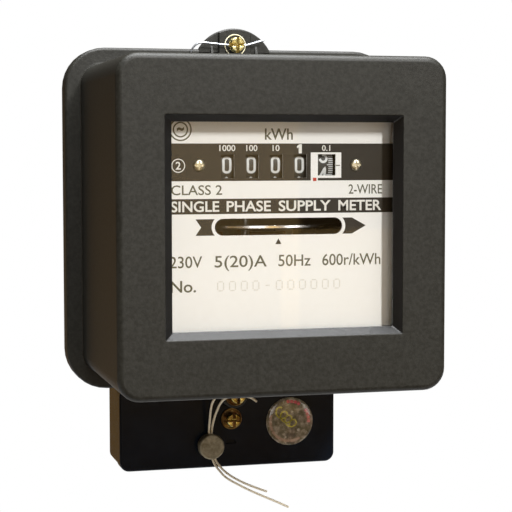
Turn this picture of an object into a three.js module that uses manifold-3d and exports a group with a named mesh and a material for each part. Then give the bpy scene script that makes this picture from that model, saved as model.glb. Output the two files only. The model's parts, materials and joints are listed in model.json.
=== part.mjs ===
// A single-phase induction watt-hour meter, as an assembly of named solids.
// Millimetres. +Z is up and the window faces -Y. The wall plane is Y = 0, and the
// origin is on it, behind the middle of the case.
import * as THREE from "three";
import { mergeVertices } from "three/addons/utils/BufferGeometryUtils.js";
import Module from "manifold-3d";

const wasm = await Module();
wasm.setup();

// ---------------------------------------------------------------- driving dimensions
const depth = 104; // wall to window face
const gap = 0.3; // kept between pieces that touch
const running = 0.1; // radial clearance of a shaft in its bore

const cover = { half: 56, corner: 7.5, wall: 2.6, face: 4.2, edge: 1.8 };
const flange = { half: 62, corner: 14.6, front: -31.6, plate: 2.6, rear: -23.6 };
const opening = { halfWidth: 40.3, halfHeight: 36.3, bevel: 2.2 };
const pane = { half: 43.5, halfHeight: 39.5, thickness: 2.2 };
const fixingX = 0.8; // the cover's screws sit just right of the middle
const upperEar = { z: 54.3, radius: 15.4, screwZ: 63.5 };
const lowerTab = { radius: 5.2, screwZ: -66.2 };
const boss = { radius: 4.4, thread: 2 };
const base = { half: 58.6, corner: 12.8, front: -26, wall: 4, floor: 4 };

const block = { half: 41.4, bottom: -94.4, top: -59.2, front: -18, corner: 3 };
const tongue = { half: 33, top: -48, rear: -4.4 };
const terminal = { pitch: 17, half: 4.5, front: -13.6, rear: -4.8, bore: 3, boreY: -9.2, boreTop: -68 };
const clampScrewZ = [-82, -71.5];
const barBottom = -86;
const voltageLink = { z: -64.5, front: -19.4 };
const blockFixing = { x: 36.5, z: -87.5, radius: 2.3 };
const terminalCover = { half: 41.8, bottom: -94.8, top: -63, front: -25, rear: -18.4, wall: 2 };
const thumbRecess = { half: 2, z: -84.9, halfHeight: 1.1, depth: 0.9 };
const lidScrewZ = -76.3;

const plate = { halfWidth: 42, halfHeight: 38.5, front: -94, thickness: 0.6 };
const slot = { length: 44, height: 5.6, x: 0.3, z: -0.4 };
const digitWindow = { aside: 0.2, width: 4.5, height: 7.7, z: 19.6 };
const decimalWindow = { x: 16.8, width: 6.2, height: 7.1 };

const register = { y: -81.7, z: 20, shaft: 1.5 };
const drum = { radius: 10.6, width: 5.9, pitch: 8.3, firstX: -17.5 };
const decimalDrum = { x: 16.1, width: 6.8 };
const carryWheel = { teeth: 20, module: 0.92, width: 1 };
const carryPinion = { teeth: 8, width: 2, shaft: 1 };

const finePitch = 0.4; // gear module of the train
const pinionTeeth = 12;
const reductionTeeth = 36;
const drumGearTeeth = 48;
const wormWheel = { teeth: 50, radius: 8, width: 2 };
const worm = { radius: 2, core: 1.75, crest: 0.26, turns: 4 };

const disc = { radius: 38.8, thickness: 1.2, z: -0.8 };
const spindle = { radius: 1.5, journal: 1, journalLength: 6, bottom: -28.9, top: 36.3 };
const wire = { radius: 0.42 };

const meshDistance = (a, b) => (finePitch * (a + b)) / 2;
const reductionY = register.y + meshDistance(pinionTeeth, drumGearTeeth);
const wormWheelY = reductionY + meshDistance(pinionTeeth, reductionTeeth);
const spindleY = wormWheelY + wormWheel.radius + worm.radius;
const wormPitch = (2 * Math.PI * wormWheel.radius) / wormWheel.teeth;

const terminalX = [-1.5, -0.5, 0.5, 1.5].map((step) => step * terminal.pitch);
const drumX = [0, 1, 2, 3].map((step) => drum.firstX + step * drum.pitch);
const plateRear = plate.front + plate.thickness;

// ---------------------------------------------------------------- materials
const material = (color, roughness, metalness = 0, extra = {}) =>
  new THREE.MeshStandardMaterial({ color, roughness, metalness, ...extra });
const coverPlastic = material(0x3e3c38, 0.5);
const basePhenolic = material(0x2c2a28, 0.6);
const blockPhenolic = material(0x15161a, 0.5);
const brass = material(0xc9a33a, 0.3, 1);
const steel = material(0xb9bcc0, 0.35, 1);
const darkSteel = material(0x55585c, 0.5, 1);
const aluminium = material(0xc8cacd, 0.35, 1);
const castAluminium = material(0x9a9da1, 0.6, 1);
const copper = material(0xa8552a, 0.45, 1);
const ferrite = material(0x34353a, 0.55, 1);
const lead = material(0x73695a, 0.65, 1);
const drumPlastic = material(0x2b2a26, 0.6);
const pinionPlastic = material(0xe4e0d4, 0.5);
const platePaint = material(0xf6f3ec, 0.55);
const rubber = material(0x1b1b1c, 0.9);
const wireSheath = material(0xe1d7be, 0.6);
const stickerFoil = material(0x8d867c, 0.35, 0.4);
const glass = material(0xe8efe9, 0.05, 0, { transparent: true, opacity: 0.25 });

// ---------------------------------------------------------------- solids and booleans
function solid(geometry) {
  const bare = geometry.index ? geometry.toNonIndexed() : geometry.clone();
  bare.deleteAttribute("normal");
  bare.deleteAttribute("uv");
  const merged = mergeVertices(bare, 1e-4);
  return new wasm.Manifold(
    new wasm.Mesh({
      numProp: 3,
      vertProperties: new Float32Array(merged.attributes.position.array),
      triVerts: new Uint32Array(merged.index.array),
    }),
  );
}

function join(...geometries) {
  const solids = geometries.map(asSolid);
  return solids.reduce((whole, next) => whole.add(next));
}

function cut(body, ...tools) {
  return tools.map(asSolid).reduce((rest, tool) => rest.subtract(tool), asSolid(body));
}

function asSolid(shape) {
  return shape.isBufferGeometry ? solid(shape) : shape;
}

function asGeometry(shape) {
  if (shape.isBufferGeometry) return shape;
  const out = shape.getMesh();
  const geometry = new THREE.BufferGeometry();
  geometry.setAttribute("position", new THREE.BufferAttribute(new Float32Array(out.vertProperties), 3));
  geometry.setIndex(new THREE.BufferAttribute(new Uint32Array(out.triVerts), 1));
  geometry.computeVertexNormals();
  return geometry;
}

const meter = new THREE.Group();
function piece(name, shape, look) {
  const mesh = new THREE.Mesh(asGeometry(shape), look);
  mesh.name = name;
  meter.add(mesh);
}

// ---------------------------------------------------------------- outlines
function roundedRect(halfWidth, halfHeight, radius, centreX = 0, centreY = 0) {
  const shape = new THREE.Shape();
  const [right, top] = [centreX + halfWidth, centreY + halfHeight];
  const [left, bottom] = [centreX - halfWidth, centreY - halfHeight];
  shape.moveTo(right - radius, bottom);
  shape.absarc(right - radius, bottom + radius, radius, -Math.PI / 2, 0, false);
  shape.absarc(right - radius, top - radius, radius, 0, Math.PI / 2, false);
  shape.absarc(left + radius, top - radius, radius, Math.PI / 2, Math.PI, false);
  shape.absarc(left + radius, bottom + radius, radius, Math.PI, 1.5 * Math.PI, false);
  return shape;
}

function stadium(length, height, centreX, centreY) {
  const radius = height / 2;
  const reach = length / 2 - radius;
  const shape = new THREE.Shape();
  shape.absarc(centreX + reach, centreY, radius, -Math.PI / 2, Math.PI / 2, false);
  shape.absarc(centreX - reach, centreY, radius, Math.PI / 2, 1.5 * Math.PI, false);
  return shape;
}

function circle(radius, centreX = 0, centreY = 0) {
  const shape = new THREE.Shape();
  shape.absarc(centreX, centreY, radius, 0, 2 * Math.PI, false);
  return shape;
}

// A toothed outline. Each flank point is [radius, place as a share of the tooth pitch].
// One tooth points along the angle `phase`.
function toothedOutline(teeth, flanks, phase) {
  const points = [];
  for (let tooth = 0; tooth < teeth; tooth += 1) {
    for (const [radius, share] of flanks) {
      const angle = phase + ((tooth + share) * 2 * Math.PI) / teeth;
      points.push(new THREE.Vector2(radius * Math.cos(angle), radius * Math.sin(angle)));
    }
  }
  return new THREE.Shape(points);
}

function gearOutline(teeth, gearModule, phase) {
  const pitchRadius = (gearModule * teeth) / 2;
  const tip = pitchRadius + 0.68 * gearModule;
  const root = pitchRadius - 0.95 * gearModule;
  const flanks = [
    [root, -0.29],
    [tip, -0.11],
    [tip, 0.11],
    [root, 0.29],
  ];
  return toothedOutline(teeth, flanks, phase);
}

// ---------------------------------------------------------------- placed solids
const extruded = (shape, length, curveSegments) =>
  new THREE.ExtrudeGeometry(shape, { depth: length, bevelEnabled: false, curveSegments });

// An outline drawn in X and Z, extruded along Y.
function slab(shape, yFront, yRear, curveSegments = 6) {
  const geometry = extruded(shape, yRear - yFront, curveSegments);
  return geometry.rotateX(Math.PI / 2).translate(0, yRear, 0);
}

// The same, with a rounded edge at both ends.
function softSlab(outline, edge, yFront, yRear) {
  const geometry = new THREE.ExtrudeGeometry(outline(edge), {
    depth: yRear - yFront - 2 * edge,
    bevelEnabled: true,
    bevelThickness: edge,
    bevelSize: edge,
    bevelSegments: 3,
    curveSegments: 6,
  });
  return geometry.rotateX(Math.PI / 2).translate(0, yRear - edge, 0);
}

// An outline drawn in Y and Z, extruded along X.
function sideSlab(shape, xLeft, xRight, y = 0, z = 0, curveSegments = 8) {
  const geometry = extruded(shape, xRight - xLeft, curveSegments);
  const turn = new THREE.Matrix4().makeBasis(
    new THREE.Vector3(0, 1, 0),
    new THREE.Vector3(0, 0, 1),
    new THREE.Vector3(1, 0, 0),
  );
  return geometry.applyMatrix4(turn).translate(xLeft, y, z);
}

// An outline drawn in X and Y, extruded along Z.
function flatSlab(shape, zBottom, zTop, curveSegments = 8) {
  const geometry = extruded(shape, zTop - zBottom, curveSegments);
  return geometry.translate(0, 0, zBottom);
}

function block3(x, y, z) {
  const size = [x, y, z].map(([low, high]) => high - low);
  const middle = [x, y, z].map(([low, high]) => (low + high) / 2);
  return new THREE.BoxGeometry(...size).translate(...middle);
}

const around = (centre, half) => [centre - half, centre + half];

function rodX(radius, y, z, xLeft, xRight, segments = 24) {
  const geometry = new THREE.CylinderGeometry(radius, radius, xRight - xLeft, segments);
  return geometry.rotateZ(Math.PI / 2).translate((xLeft + xRight) / 2, y, z);
}

function rodY(radius, x, z, yFront, yRear, segments = 20) {
  const geometry = new THREE.CylinderGeometry(radius, radius, yRear - yFront, segments);
  return geometry.translate(x, (yFront + yRear) / 2, z);
}

function rodZ(radius, x, y, zBottom, zTop, segments = 24) {
  const geometry = new THREE.CylinderGeometry(radius, radius, zTop - zBottom, segments);
  return geometry.rotateX(Math.PI / 2).translate(x, y, (zBottom + zTop) / 2);
}

// A turned piece: profile points are [radius, distance towards the viewer].
function turnedY(profile, x, y, z, segments = 24) {
  const points = profile.map(([radius, along]) => new THREE.Vector2(radius, along));
  return new THREE.LatheGeometry(points, segments).rotateX(Math.PI).translate(x, y, z);
}

// A turned piece: profile points are [radius, height].
function turnedZ(profile, x, y, segments = 24) {
  const points = profile.map(([radius, height]) => new THREE.Vector2(radius, height));
  return new THREE.LatheGeometry(points, segments).rotateX(Math.PI / 2).translate(x, y, 0);
}

function tube(points, radius, steps) {
  const path = new THREE.CatmullRomCurve3(
    points.map((point) => new THREE.Vector3(...point)),
    false,
    "centripetal",
  );
  return sweep(path, radius, steps, 8);
}

// A many-sided section carried along a path.
function sweep(path, radius, steps, sides) {
  const corners = [];
  for (let side = 0; side < sides; side += 1) {
    const angle = (2 * Math.PI * side) / sides;
    corners.push(new THREE.Vector2(radius * Math.cos(angle), radius * Math.sin(angle)));
  }
  const section = new THREE.Shape(corners);
  return new THREE.ExtrudeGeometry(section, { steps, extrudePath: path, bevelEnabled: false });
}

// ---------------------------------------------------------------- case
// A four-sided hole that narrows from the window face inwards.
function bevelledOpening() {
  const geometry = new THREE.BoxGeometry(2, 2, 2);
  const corners = geometry.attributes.position;
  const overshoot = 0.2;
  for (let index = 0; index < corners.count; index += 1) {
    const inner = corners.getY(index) > 0;
    const inset = inner ? opening.bevel : 0;
    corners.setX(index, corners.getX(index) * (opening.halfWidth - inset));
    corners.setZ(index, corners.getZ(index) * (opening.halfHeight - inset));
    corners.setY(index, inner ? cover.face : 0);
  }
  const cone = geometry.translate(0, -depth, 0);
  const throat = block3(
    around(0, opening.halfWidth - opening.bevel),
    [cover.face - depth - overshoot, cover.face - depth + 1],
    around(0, opening.halfHeight - opening.bevel),
  );
  const mouth = block3(
    around(0, opening.halfWidth),
    [-depth - 1, -depth],
    around(0, opening.halfHeight),
  );
  return join(cone, throat, mouth);
}

const plateBack = flange.front + flange.plate;

function earPlates() {
  const ear = slab(circle(upperEar.radius, fixingX, upperEar.z), flange.front, plateBack, 24);
  const tab = screwTab(lowerTab.radius, flange.front, plateBack);
  return join(ear, tab);
}

// The outline around the lower cover screw, up to the flange.
function screwTab(radius, yFront, yRear) {
  const round = rodY(radius, fixingX, lowerTab.screwZ, yFront, yRear, 32);
  const neck = block3(around(fixingX, radius), [yFront, yRear], [lowerTab.screwZ, 1 - flange.half]);
  return join(round, neck);
}

function frontCover() {
  const boxRear = flange.front + 1;
  const box = softSlab(
    (edge) => roundedRect(cover.half - edge, cover.half - edge, cover.corner - edge),
    cover.edge,
    -depth,
    boxRear + cover.edge,
  );
  const trim = block3(around(0, 80), [boxRear, 0], around(0, 80));
  const rim = slab(roundedRect(flange.half, flange.half, flange.corner), flange.front, flange.rear, 8);
  const skirtInner = flange.half - flange.plate;
  const skirtRoom = slab(
    roundedRect(skirtInner, skirtInner, flange.corner - flange.plate),
    plateBack,
    flange.rear + 1,
    8,
  );
  const inner = cover.half - cover.wall;
  const inside = slab(roundedRect(inner, inner, cover.corner - cover.wall), cover.face - depth, 0);
  const room = boss.radius + 0.5;
  const bossRooms = [
    [base.half, upperEar.screwZ + room],
    [lowerTab.screwZ - room, -base.half],
  ].map((z) => block3(around(fixingX, room), [plateBack, 0], z));
  const screwHoles = [upperEar.screwZ, lowerTab.screwZ].map((z) =>
    rodY(boss.thread + 0.1, fixingX, z, flange.front - 1, plateBack + 1, 16),
  );
  const outside = join(cut(box, trim), cut(rim, skirtRoom), earPlates());
  const shell = cut(outside, inside, bevelledOpening());
  return cut(shell, ...bossRooms, ...screwHoles);
}

// A moulded keyhole for the wall hook: the hook's head enters below and slides up.
function hangerKeyhole() {
  const [entry, neck, low, high] = [4.2, 2.2, 42, 49];
  const mouth = rodY(entry, 0, low, -3, 1);
  const narrow = block3(around(0, neck), [-3, 1], [low, high]);
  const narrowEnd = rodY(neck, 0, high, -3, 1);
  const undercut = block3(around(0, entry), [-3, -1.5], [low, high]);
  const undercutEnd = rodY(entry, 0, high, -3, -1.5);
  return join(mouth, narrow, narrowEnd, undercut, undercutEnd);
}

// A post that holds the thread of one cover screw, with a web to the tray's wall.
function screwBoss(z, yRear) {
  const wallZ = Math.sign(z) * (base.half - 1);
  const webZ = [Math.min(z, wallZ), Math.max(z, wallZ)];
  const post = rodY(boss.radius, fixingX, z, plateBack + gap, yRear);
  const web = block3(around(fixingX, boss.radius), [base.front, yRear], webZ);
  const thread = rodY(boss.thread, fixingX, z, plateBack - 1, block.front - 1.5, 16);
  return cut(join(post, web), thread);
}

function baseTray() {
  const outer = slab(roundedRect(base.half, base.half, base.corner), base.front, 0, 6);
  const inner = base.half - base.wall;
  const hollow = slab(roundedRect(inner, inner, base.corner - base.wall), base.front - 1, -base.floor, 6);
  const tongueSlot = block3(
    around(0, tongue.half + gap),
    [block.front - gap, -base.floor],
    [-base.half - 1, base.wall + 1 - base.half],
  );
  const tray = cut(outer, hollow, tongueSlot, hangerKeyhole());
  return join(tray, screwBoss(upperEar.screwZ, 0), screwBoss(lowerTab.screwZ, block.front - gap));
}

function coverGasket() {
  const ring = roundedRect(base.half - 0.4, base.half - 0.4, base.corner - 0.4);
  ring.holes.push(roundedRect(base.half - 3.4, base.half - 3.4, base.corner - 3.4));
  return slab(ring, plateBack + gap, base.front - gap, 5);
}

function windowGlass() {
  const front = cover.face + gap - depth;
  return block3(around(0, pane.half), [front, front + pane.thickness], around(0, pane.halfHeight));
}

// A sealing screw: a wide collar, a round head with a driver slot and a cross hole
// for the seal wire, and a shank. `face` is the plane that the collar lies on.
function sealingScrew(x, z, face, collar, head, height, shankEnd, crossHole) {
  const turned = turnedY(
    [
      [0, face - gap - shankEnd],
      [1.6, face - gap - shankEnd],
      [1.6, 0],
      [collar, 0],
      [collar, 0.9],
      [head, 1.3],
      [head, height - 0.8],
      [head - 0.8, height],
      [0, height],
    ],
    x,
    face - gap,
    z,
  );
  const top = face - gap - height;
  const driverSlot = block3(around(x, head + 1), [top - 1, top + 1.2], around(z, 0.5));
  const wireHole = rodX(crossHole, face - gap - height / 2, z, x - head - 1, x + head + 1, 12);
  return cut(turned, driverSlot, wireHole);
}

// ---------------------------------------------------------------- terminals
function terminalBlock() {
  const middleZ = (block.bottom + block.top) / 2;
  const halfHeight = (block.top - block.bottom) / 2;
  const body = slab(roundedRect(block.half, halfHeight, block.corner, 0, middleZ), block.front, 0);
  const tail = block3(around(0, tongue.half), [block.front, tongue.rear], [block.top - 1, tongue.top]);
  const cuts = [];
  for (const x of terminalX) {
    const channel = [terminal.front - gap, terminal.rear + gap];
    cuts.push(block3(around(x, terminal.half + gap), channel, [barBottom - gap, tongue.top + 1]));
    cuts.push(rodZ(terminal.bore + 0.4, x, terminal.boreY, block.bottom - 1, barBottom));
    for (const z of clampScrewZ) {
      cuts.push(rodY(3.6, x, z, block.front - 1, terminal.front));
    }
  }
  for (const side of [-1, 1]) {
    cuts.push(rodY(blockFixing.radius, side * blockFixing.x, blockFixing.z, block.front - 1, 1));
  }
  cuts.push(rodY(boss.thread, fixingX, lidScrewZ, block.front - 1, -5, 16));
  cuts.push(rodY(1.5, terminalX[0], voltageLink.z, block.front - 1, terminal.front, 12));
  return cut(join(body, tail), ...cuts);
}

function terminalBar(x, hasLink) {
  const barZ = [barBottom, tongue.top + 2];
  const bar = block3(around(x, terminal.half), [terminal.front, terminal.rear], barZ);
  const bore = rodZ(terminal.bore, x, terminal.boreY, barBottom - 1, terminal.boreTop);
  const holes = clampScrewZ.map((z) => rodY(1.9, x, z, terminal.front - 1, terminal.boreY, 12));
  if (hasLink) holes.push(rodY(1.5, x, voltageLink.z, terminal.front - 1, terminal.front + 3, 12));
  return cut(bar, bore, ...holes);
}

// A cheese-head screw facing the viewer, with a driver slot.
function slottedScrew(x, z, underHead, head, height, shank, length) {
  const turned = turnedY(
    [
      [0, -length],
      [shank, -length],
      [shank, 0],
      [head, 0],
      [head, height - 0.4],
      [head - 0.4, height],
      [0, height],
    ],
    x,
    underHead,
    z,
    16,
  );
  const top = underHead - height;
  return cut(turned, block3(around(x, head + 1), [top - 1, top + 0.8], around(z, 0.4)));
}

function linkStrip() {
  const x = [terminalX[0] - 3, terminalX[0] + 11];
  const strip = block3(x, [voltageLink.front, block.front - gap], around(voltageLink.z, 2.4));
  return cut(strip, rodY(1.6, terminalX[0], voltageLink.z, -21, -17, 12));
}

function terminalLid() {
  const middleZ = (terminalCover.bottom + terminalCover.top) / 2;
  const halfHeight = (terminalCover.top - terminalCover.bottom) / 2;
  const outline = (edge) =>
    roundedRect(terminalCover.half - edge, halfHeight - edge, 3.6 - edge, 0, middleZ);
  const body = softSlab(outline, 0.8, terminalCover.front, terminalCover.rear + 0.8);
  const trim = block3(around(0, 50), [terminalCover.rear, 0], [-100, -50]);
  const hollow = block3(
    around(0, terminalCover.half - terminalCover.wall),
    [terminalCover.front + terminalCover.wall, 0],
    [terminalCover.bottom + terminalCover.wall, terminalCover.top + 1],
  );
  const tabNotch = screwTab(lowerTab.radius + 0.4, terminalCover.front - 1, terminalCover.rear + 1);
  const screwHole = rodY(boss.thread, fixingX, lidScrewZ, terminalCover.front - 1, 0, 16);
  const thumbSlot = block3(
    around(fixingX, thumbRecess.half),
    [terminalCover.front - 1, terminalCover.front + thumbRecess.depth],
    around(thumbRecess.z, thumbRecess.halfHeight),
  );
  return cut(body, trim, hollow, tabNotch, screwHole, thumbSlot);
}

// ---------------------------------------------------------------- register
function drumBody(x, width) {
  const hub = roundHub(circle(drum.radius), register.shaft + running);
  return sideSlab(hub, x - width / 2, x + width / 2, register.y, register.z, 14);
}

function roundHub(outline, bore) {
  outline.holes.push(circle(bore));
  return outline;
}

// A digit drum with the 20-tooth wheel that its carry pinion drives.
function digitDrum(x) {
  const right = x + drum.width / 2;
  const outline = gearOutline(carryWheel.teeth, carryWheel.module, carryPhase);
  const wheel = roundHub(outline, register.shaft + running);
  const teeth = sideSlab(wheel, right - 0.1, right + carryWheel.width, register.y, register.z);
  return join(drumBody(x, drum.width), teeth);
}

// The carry shaft is above the drums and a little behind them.
const carryPhase = (70 * Math.PI) / 180;
const carryDistance = (carryWheel.module * (carryWheel.teeth + carryPinion.teeth)) / 2;
const carryY = register.y + carryDistance * Math.cos(carryPhase);
const carryZ = register.z + carryDistance * Math.sin(carryPhase);

function carryPinionGear(x) {
  const left = x + drum.width / 2 + 0.1;
  const facing = carryPhase + Math.PI + Math.PI / carryPinion.teeth;
  const outline = gearOutline(carryPinion.teeth, carryWheel.module, facing);
  const wheel = roundHub(outline, carryPinion.shaft + running);
  return sideSlab(wheel, left, left + carryPinion.width, carryY, carryZ);
}

const frameLeft = -25.2;
const frameRight = 29;
const sheet = 1.2;
const drumGearX = decimalDrum.x + decimalDrum.width / 2 + 1;
const reductionX = drumGearX + 3;

function registerFrame() {
  const [front, rear] = [plateRear + 1.2, wormWheelY + 3.5];
  const [bottom, top] = [8, 38.2];
  const left = block3([frameLeft - sheet, frameLeft], [front, rear], [bottom, top]);
  const right = block3([frameRight, frameRight + sheet], [front, rear], [bottom, top]);
  const roof = block3([frameLeft - sheet, frameRight + sheet], [front + 20, rear], [top - sheet, top]);
  const tabs = [
    block3([frameLeft - 5.5, frameLeft], [front, front + sheet], around(register.z, 5)),
    block3([frameRight, frameRight + 1.5], [front, front + sheet], around(register.z, 5)),
  ];
  const holes = [
    rodX(register.shaft + 0.2, register.y, register.z, -40, 40),
    rodX(carryPinion.shaft + 0.2, carryY, carryZ, -40, 40),
    rodX(1.1, reductionY, register.z, -40, 40),
    rodX(1.1, wormWheelY, register.z, -40, 40),
    rodY(1.2, -plateScrewX, register.z, front - 1, front + 3, 12),
    rodY(1.2, plateScrewX, register.z, front - 1, front + 3, 12),
  ];
  return cut(join(left, right, roof, ...tabs), ...holes);
}

// A rod that spans both sides of the register frame.
function frameRod(radius, y, z) {
  return rodX(radius, y, z, frameLeft - sheet, frameRight + sheet);
}

function pinionArbor(y, pinionLeft, phase) {
  const outline = gearOutline(pinionTeeth, finePitch, phase);
  const pinion = sideSlab(outline, pinionLeft, pinionLeft + 2, y, register.z);
  return join(frameRod(1, y, register.z), pinion);
}

function trainGear(teeth, x, y, bore, phase) {
  const outline = roundHub(gearOutline(teeth, finePitch, phase), bore);
  return sideSlab(outline, x, x + 1.4, y, register.z, 5);
}

function wormWheelGear() {
  const root = wormWheel.radius - 0.3;
  const tip = wormWheel.radius + 0.24;
  const flanks = [
    [root, -0.34],
    [tip, -0.14],
    [tip, 0.14],
    [root, 0.34],
  ];
  const outline = roundHub(toothedOutline(wormWheel.teeth, flanks, 0), 1.3);
  return sideSlab(outline, -wormWheel.width / 2, wormWheel.width / 2, wormWheelY, register.z, 6);
}

// ---------------------------------------------------------------- rotor
// The thread is right-handed, so that the digits count up while the disc's front edge
// moves to the right. A gap of the thread faces a tooth of the worm wheel.
class ThreadPath extends THREE.Curve {
  getPoint(share) {
    const turn = (share - 0.5) * worm.turns * Math.PI * 2;
    const angle = -Math.PI / 2 + turn;
    const rise = (turn / (2 * Math.PI) + 0.5) * wormPitch;
    return new THREE.Vector3(worm.core * Math.cos(angle), worm.core * Math.sin(angle), rise);
  }
}

function rotorWorm() {
  const thread = sweep(new ThreadPath(), worm.crest, 12 * worm.turns, 4);
  thread.translate(0, spindleY, register.z);
  const core = rodZ(worm.core, 0, spindleY, register.z - 4.5, register.z + 4.5, 16);
  const bore = rodZ(spindle.radius + 0.05, 0, spindleY, register.z - 6, register.z + 6);
  return cut(join(core, thread), bore);
}

function rotorDisc() {
  const outline = circle(disc.radius, 0, spindleY);
  outline.holes.push(circle(spindle.radius + gap, 0, spindleY));
  return flatSlab(outline, disc.z - disc.thickness / 2, disc.z + disc.thickness / 2, 32);
}

function rotorSpindle() {
  const collarTop = disc.z - disc.thickness / 2 - gap;
  const lowerNeck = spindle.bottom + spindle.journalLength;
  const upperNeck = spindle.top - spindle.journalLength;
  return turnedZ(
    [
      [0, spindle.bottom],
      [spindle.journal, spindle.bottom],
      [spindle.journal, lowerNeck],
      [spindle.radius, lowerNeck + 0.5],
      [spindle.radius, collarTop - 2],
      [4.5, collarTop - 1.4],
      [4.5, collarTop],
      [spindle.radius, collarTop],
      [spindle.radius, upperNeck - 0.5],
      [spindle.journal, upperNeck],
      [spindle.journal, spindle.top],
      [0, spindle.top],
    ],
    0,
    spindleY,
    16,
  );
}

// A turned cup that holds one journal of the spindle. `shut` is the height of its
// closed end and `open` that of its mouth.
function bearing(shut, open) {
  const inward = Math.sign(open - shut);
  const floor = shut + 1.6 * inward;
  const bore = spindle.journal + running;
  const profile = [
    [0, shut],
    [4, shut],
    [4, open],
    [bore, open],
    [bore, floor],
    [0, floor],
  ];
  return turnedZ(inward > 0 ? profile : profile.reverse(), 0, spindleY, 16);
}

// ---------------------------------------------------------------- frame and magnets
const backPlate = { half: 30, y: [-9, -6] };
const upperArm = { half: 12, z: [38.5, 41.5] };
const lowerArm = { half: 9, z: [-34, -31] };
const magnetArm = { x: [26, 42], z: [-18, -15] };
const foot = { x: 22, bottom: -28, top: 32, radius: 4 };
const bearingSeat = { top: upperArm.z[0] - gap, bottom: lowerArm.z[1] + gap };

function mainFrame() {
  const arms = [
    block3(around(0, upperArm.half), [wormWheelY - 10, -8], upperArm.z),
    block3(around(0, lowerArm.half), [spindleY - 8, -8], lowerArm.z),
    block3(magnetArm.x, [spindleY - 6, -8], magnetArm.z),
  ];
  const plates = [
    block3(around(0, backPlate.half), backPlate.y, [lowerArm.z[0], upperArm.z[1]]),
    block3(magnetArm.x, backPlate.y, [lowerArm.z[0], magnetArm.z[1]]),
  ];
  const feet = [-foot.x, foot.x].flatMap((x) =>
    [foot.bottom, foot.top].map((z) => rodY(foot.radius, x, z, -7, -base.floor - gap, 16)),
  );
  return join(...plates, ...arms, ...feet);
}

// The voltage electromagnet is above the disc: a laminated block with two windows.
const coreY = [-33, -21];
const voltageWindow = { x: 12.3, z: 19.5, half: 5.7, halfHeight: 11.5 };
function voltageCore() {
  const outline = roundedRect(25, 17, 1, 0, 18.6);
  const { x, z, half, halfHeight } = voltageWindow;
  for (const side of [-1, 1]) {
    outline.holes.push(roundedRect(half, halfHeight, 0.6, side * x, z));
  }
  return slab(outline, ...coreY, 3);
}

function coilRing(x, halfWidth, y, zRange, limbHalf) {
  const ring = roundedRect(halfWidth, (y[1] - y[0]) / 2, 2, x, (y[0] + y[1]) / 2);
  const coreHalf = (coreY[1] - coreY[0]) / 2 + gap;
  ring.holes.push(roundedRect(limbHalf + gap, coreHalf, 0.2, x, (coreY[0] + coreY[1]) / 2));
  return flatSlab(ring, ...zRange, 4);
}

// The current electromagnet is below the disc: a U with one coil on each limb.
const limb = { x: 12, half: 4, top: -3.4, bottom: -26 };
function currentCore() {
  const outline = new THREE.Shape();
  const outer = limb.x + limb.half;
  const inner = limb.x - limb.half;
  const yoke = limb.bottom + 7;
  outline.moveTo(-outer, limb.bottom);
  outline.lineTo(outer, limb.bottom);
  outline.lineTo(outer, limb.top);
  outline.lineTo(inner, limb.top);
  outline.lineTo(inner, yoke);
  outline.lineTo(-inner, yoke);
  outline.lineTo(-inner, limb.top);
  outline.lineTo(-outer, limb.top);
  outline.closePath();
  return slab(outline, ...coreY);
}

// A C-shaped magnet: the disc's edge runs in its jaw.
function brakeMagnet() {
  const y = around(spindleY, 8);
  const [left, right] = [magnetArm.x[0] - 2, magnetArm.x[1]];
  const body = block3([left, right], y, [magnetArm.z[1] + gap, 7]);
  const jaw = block3([left - 1, right - 2.5], [y[0] - 1, y[1] + 1], around(disc.z, 2));
  return cut(body, jaw);
}

// ---------------------------------------------------------------- nameplate
const plateScrewX = 27;
function nameplate() {
  const through = [plate.front - 1, plateRear + 1];
  const windows = drumX.map((x) =>
    block3(
      around(x + digitWindow.aside, digitWindow.width / 2),
      through,
      around(digitWindow.z, digitWindow.height / 2),
    ),
  );
  const tenths = block3(
    around(decimalWindow.x, decimalWindow.width / 2),
    through,
    around(register.z, decimalWindow.height / 2),
  );
  const discSlot = slab(stadium(slot.length, slot.height, slot.x, slot.z), ...through, 6);
  const screwHoles = [-1, 1].map((side) => rodY(1.3, side * plateScrewX, register.z, ...through, 12));
  const sheetBody = slab(roundedRect(plate.halfWidth, plate.halfHeight, 1.5), plate.front, plateRear, 3);
  return cut(sheetBody, ...windows, tenths, discSlot, ...screwHoles);
}

// ---------------------------------------------------------------- seals
const sealDisc = { x: -7.7, y: -28, z: -86, radius: 4.8, half: 2.1, bore: 0.66 };
const wireX = { left: sealDisc.x, right: sealDisc.x + 1.4 };
const wireReach = 5.2; // how far the straight stretch runs above and below the disc's middle
const wireDrift = 0.7; // how far the wires lean to the right over that reach
const crossHoleY = flange.front - gap - 2.6;

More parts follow.
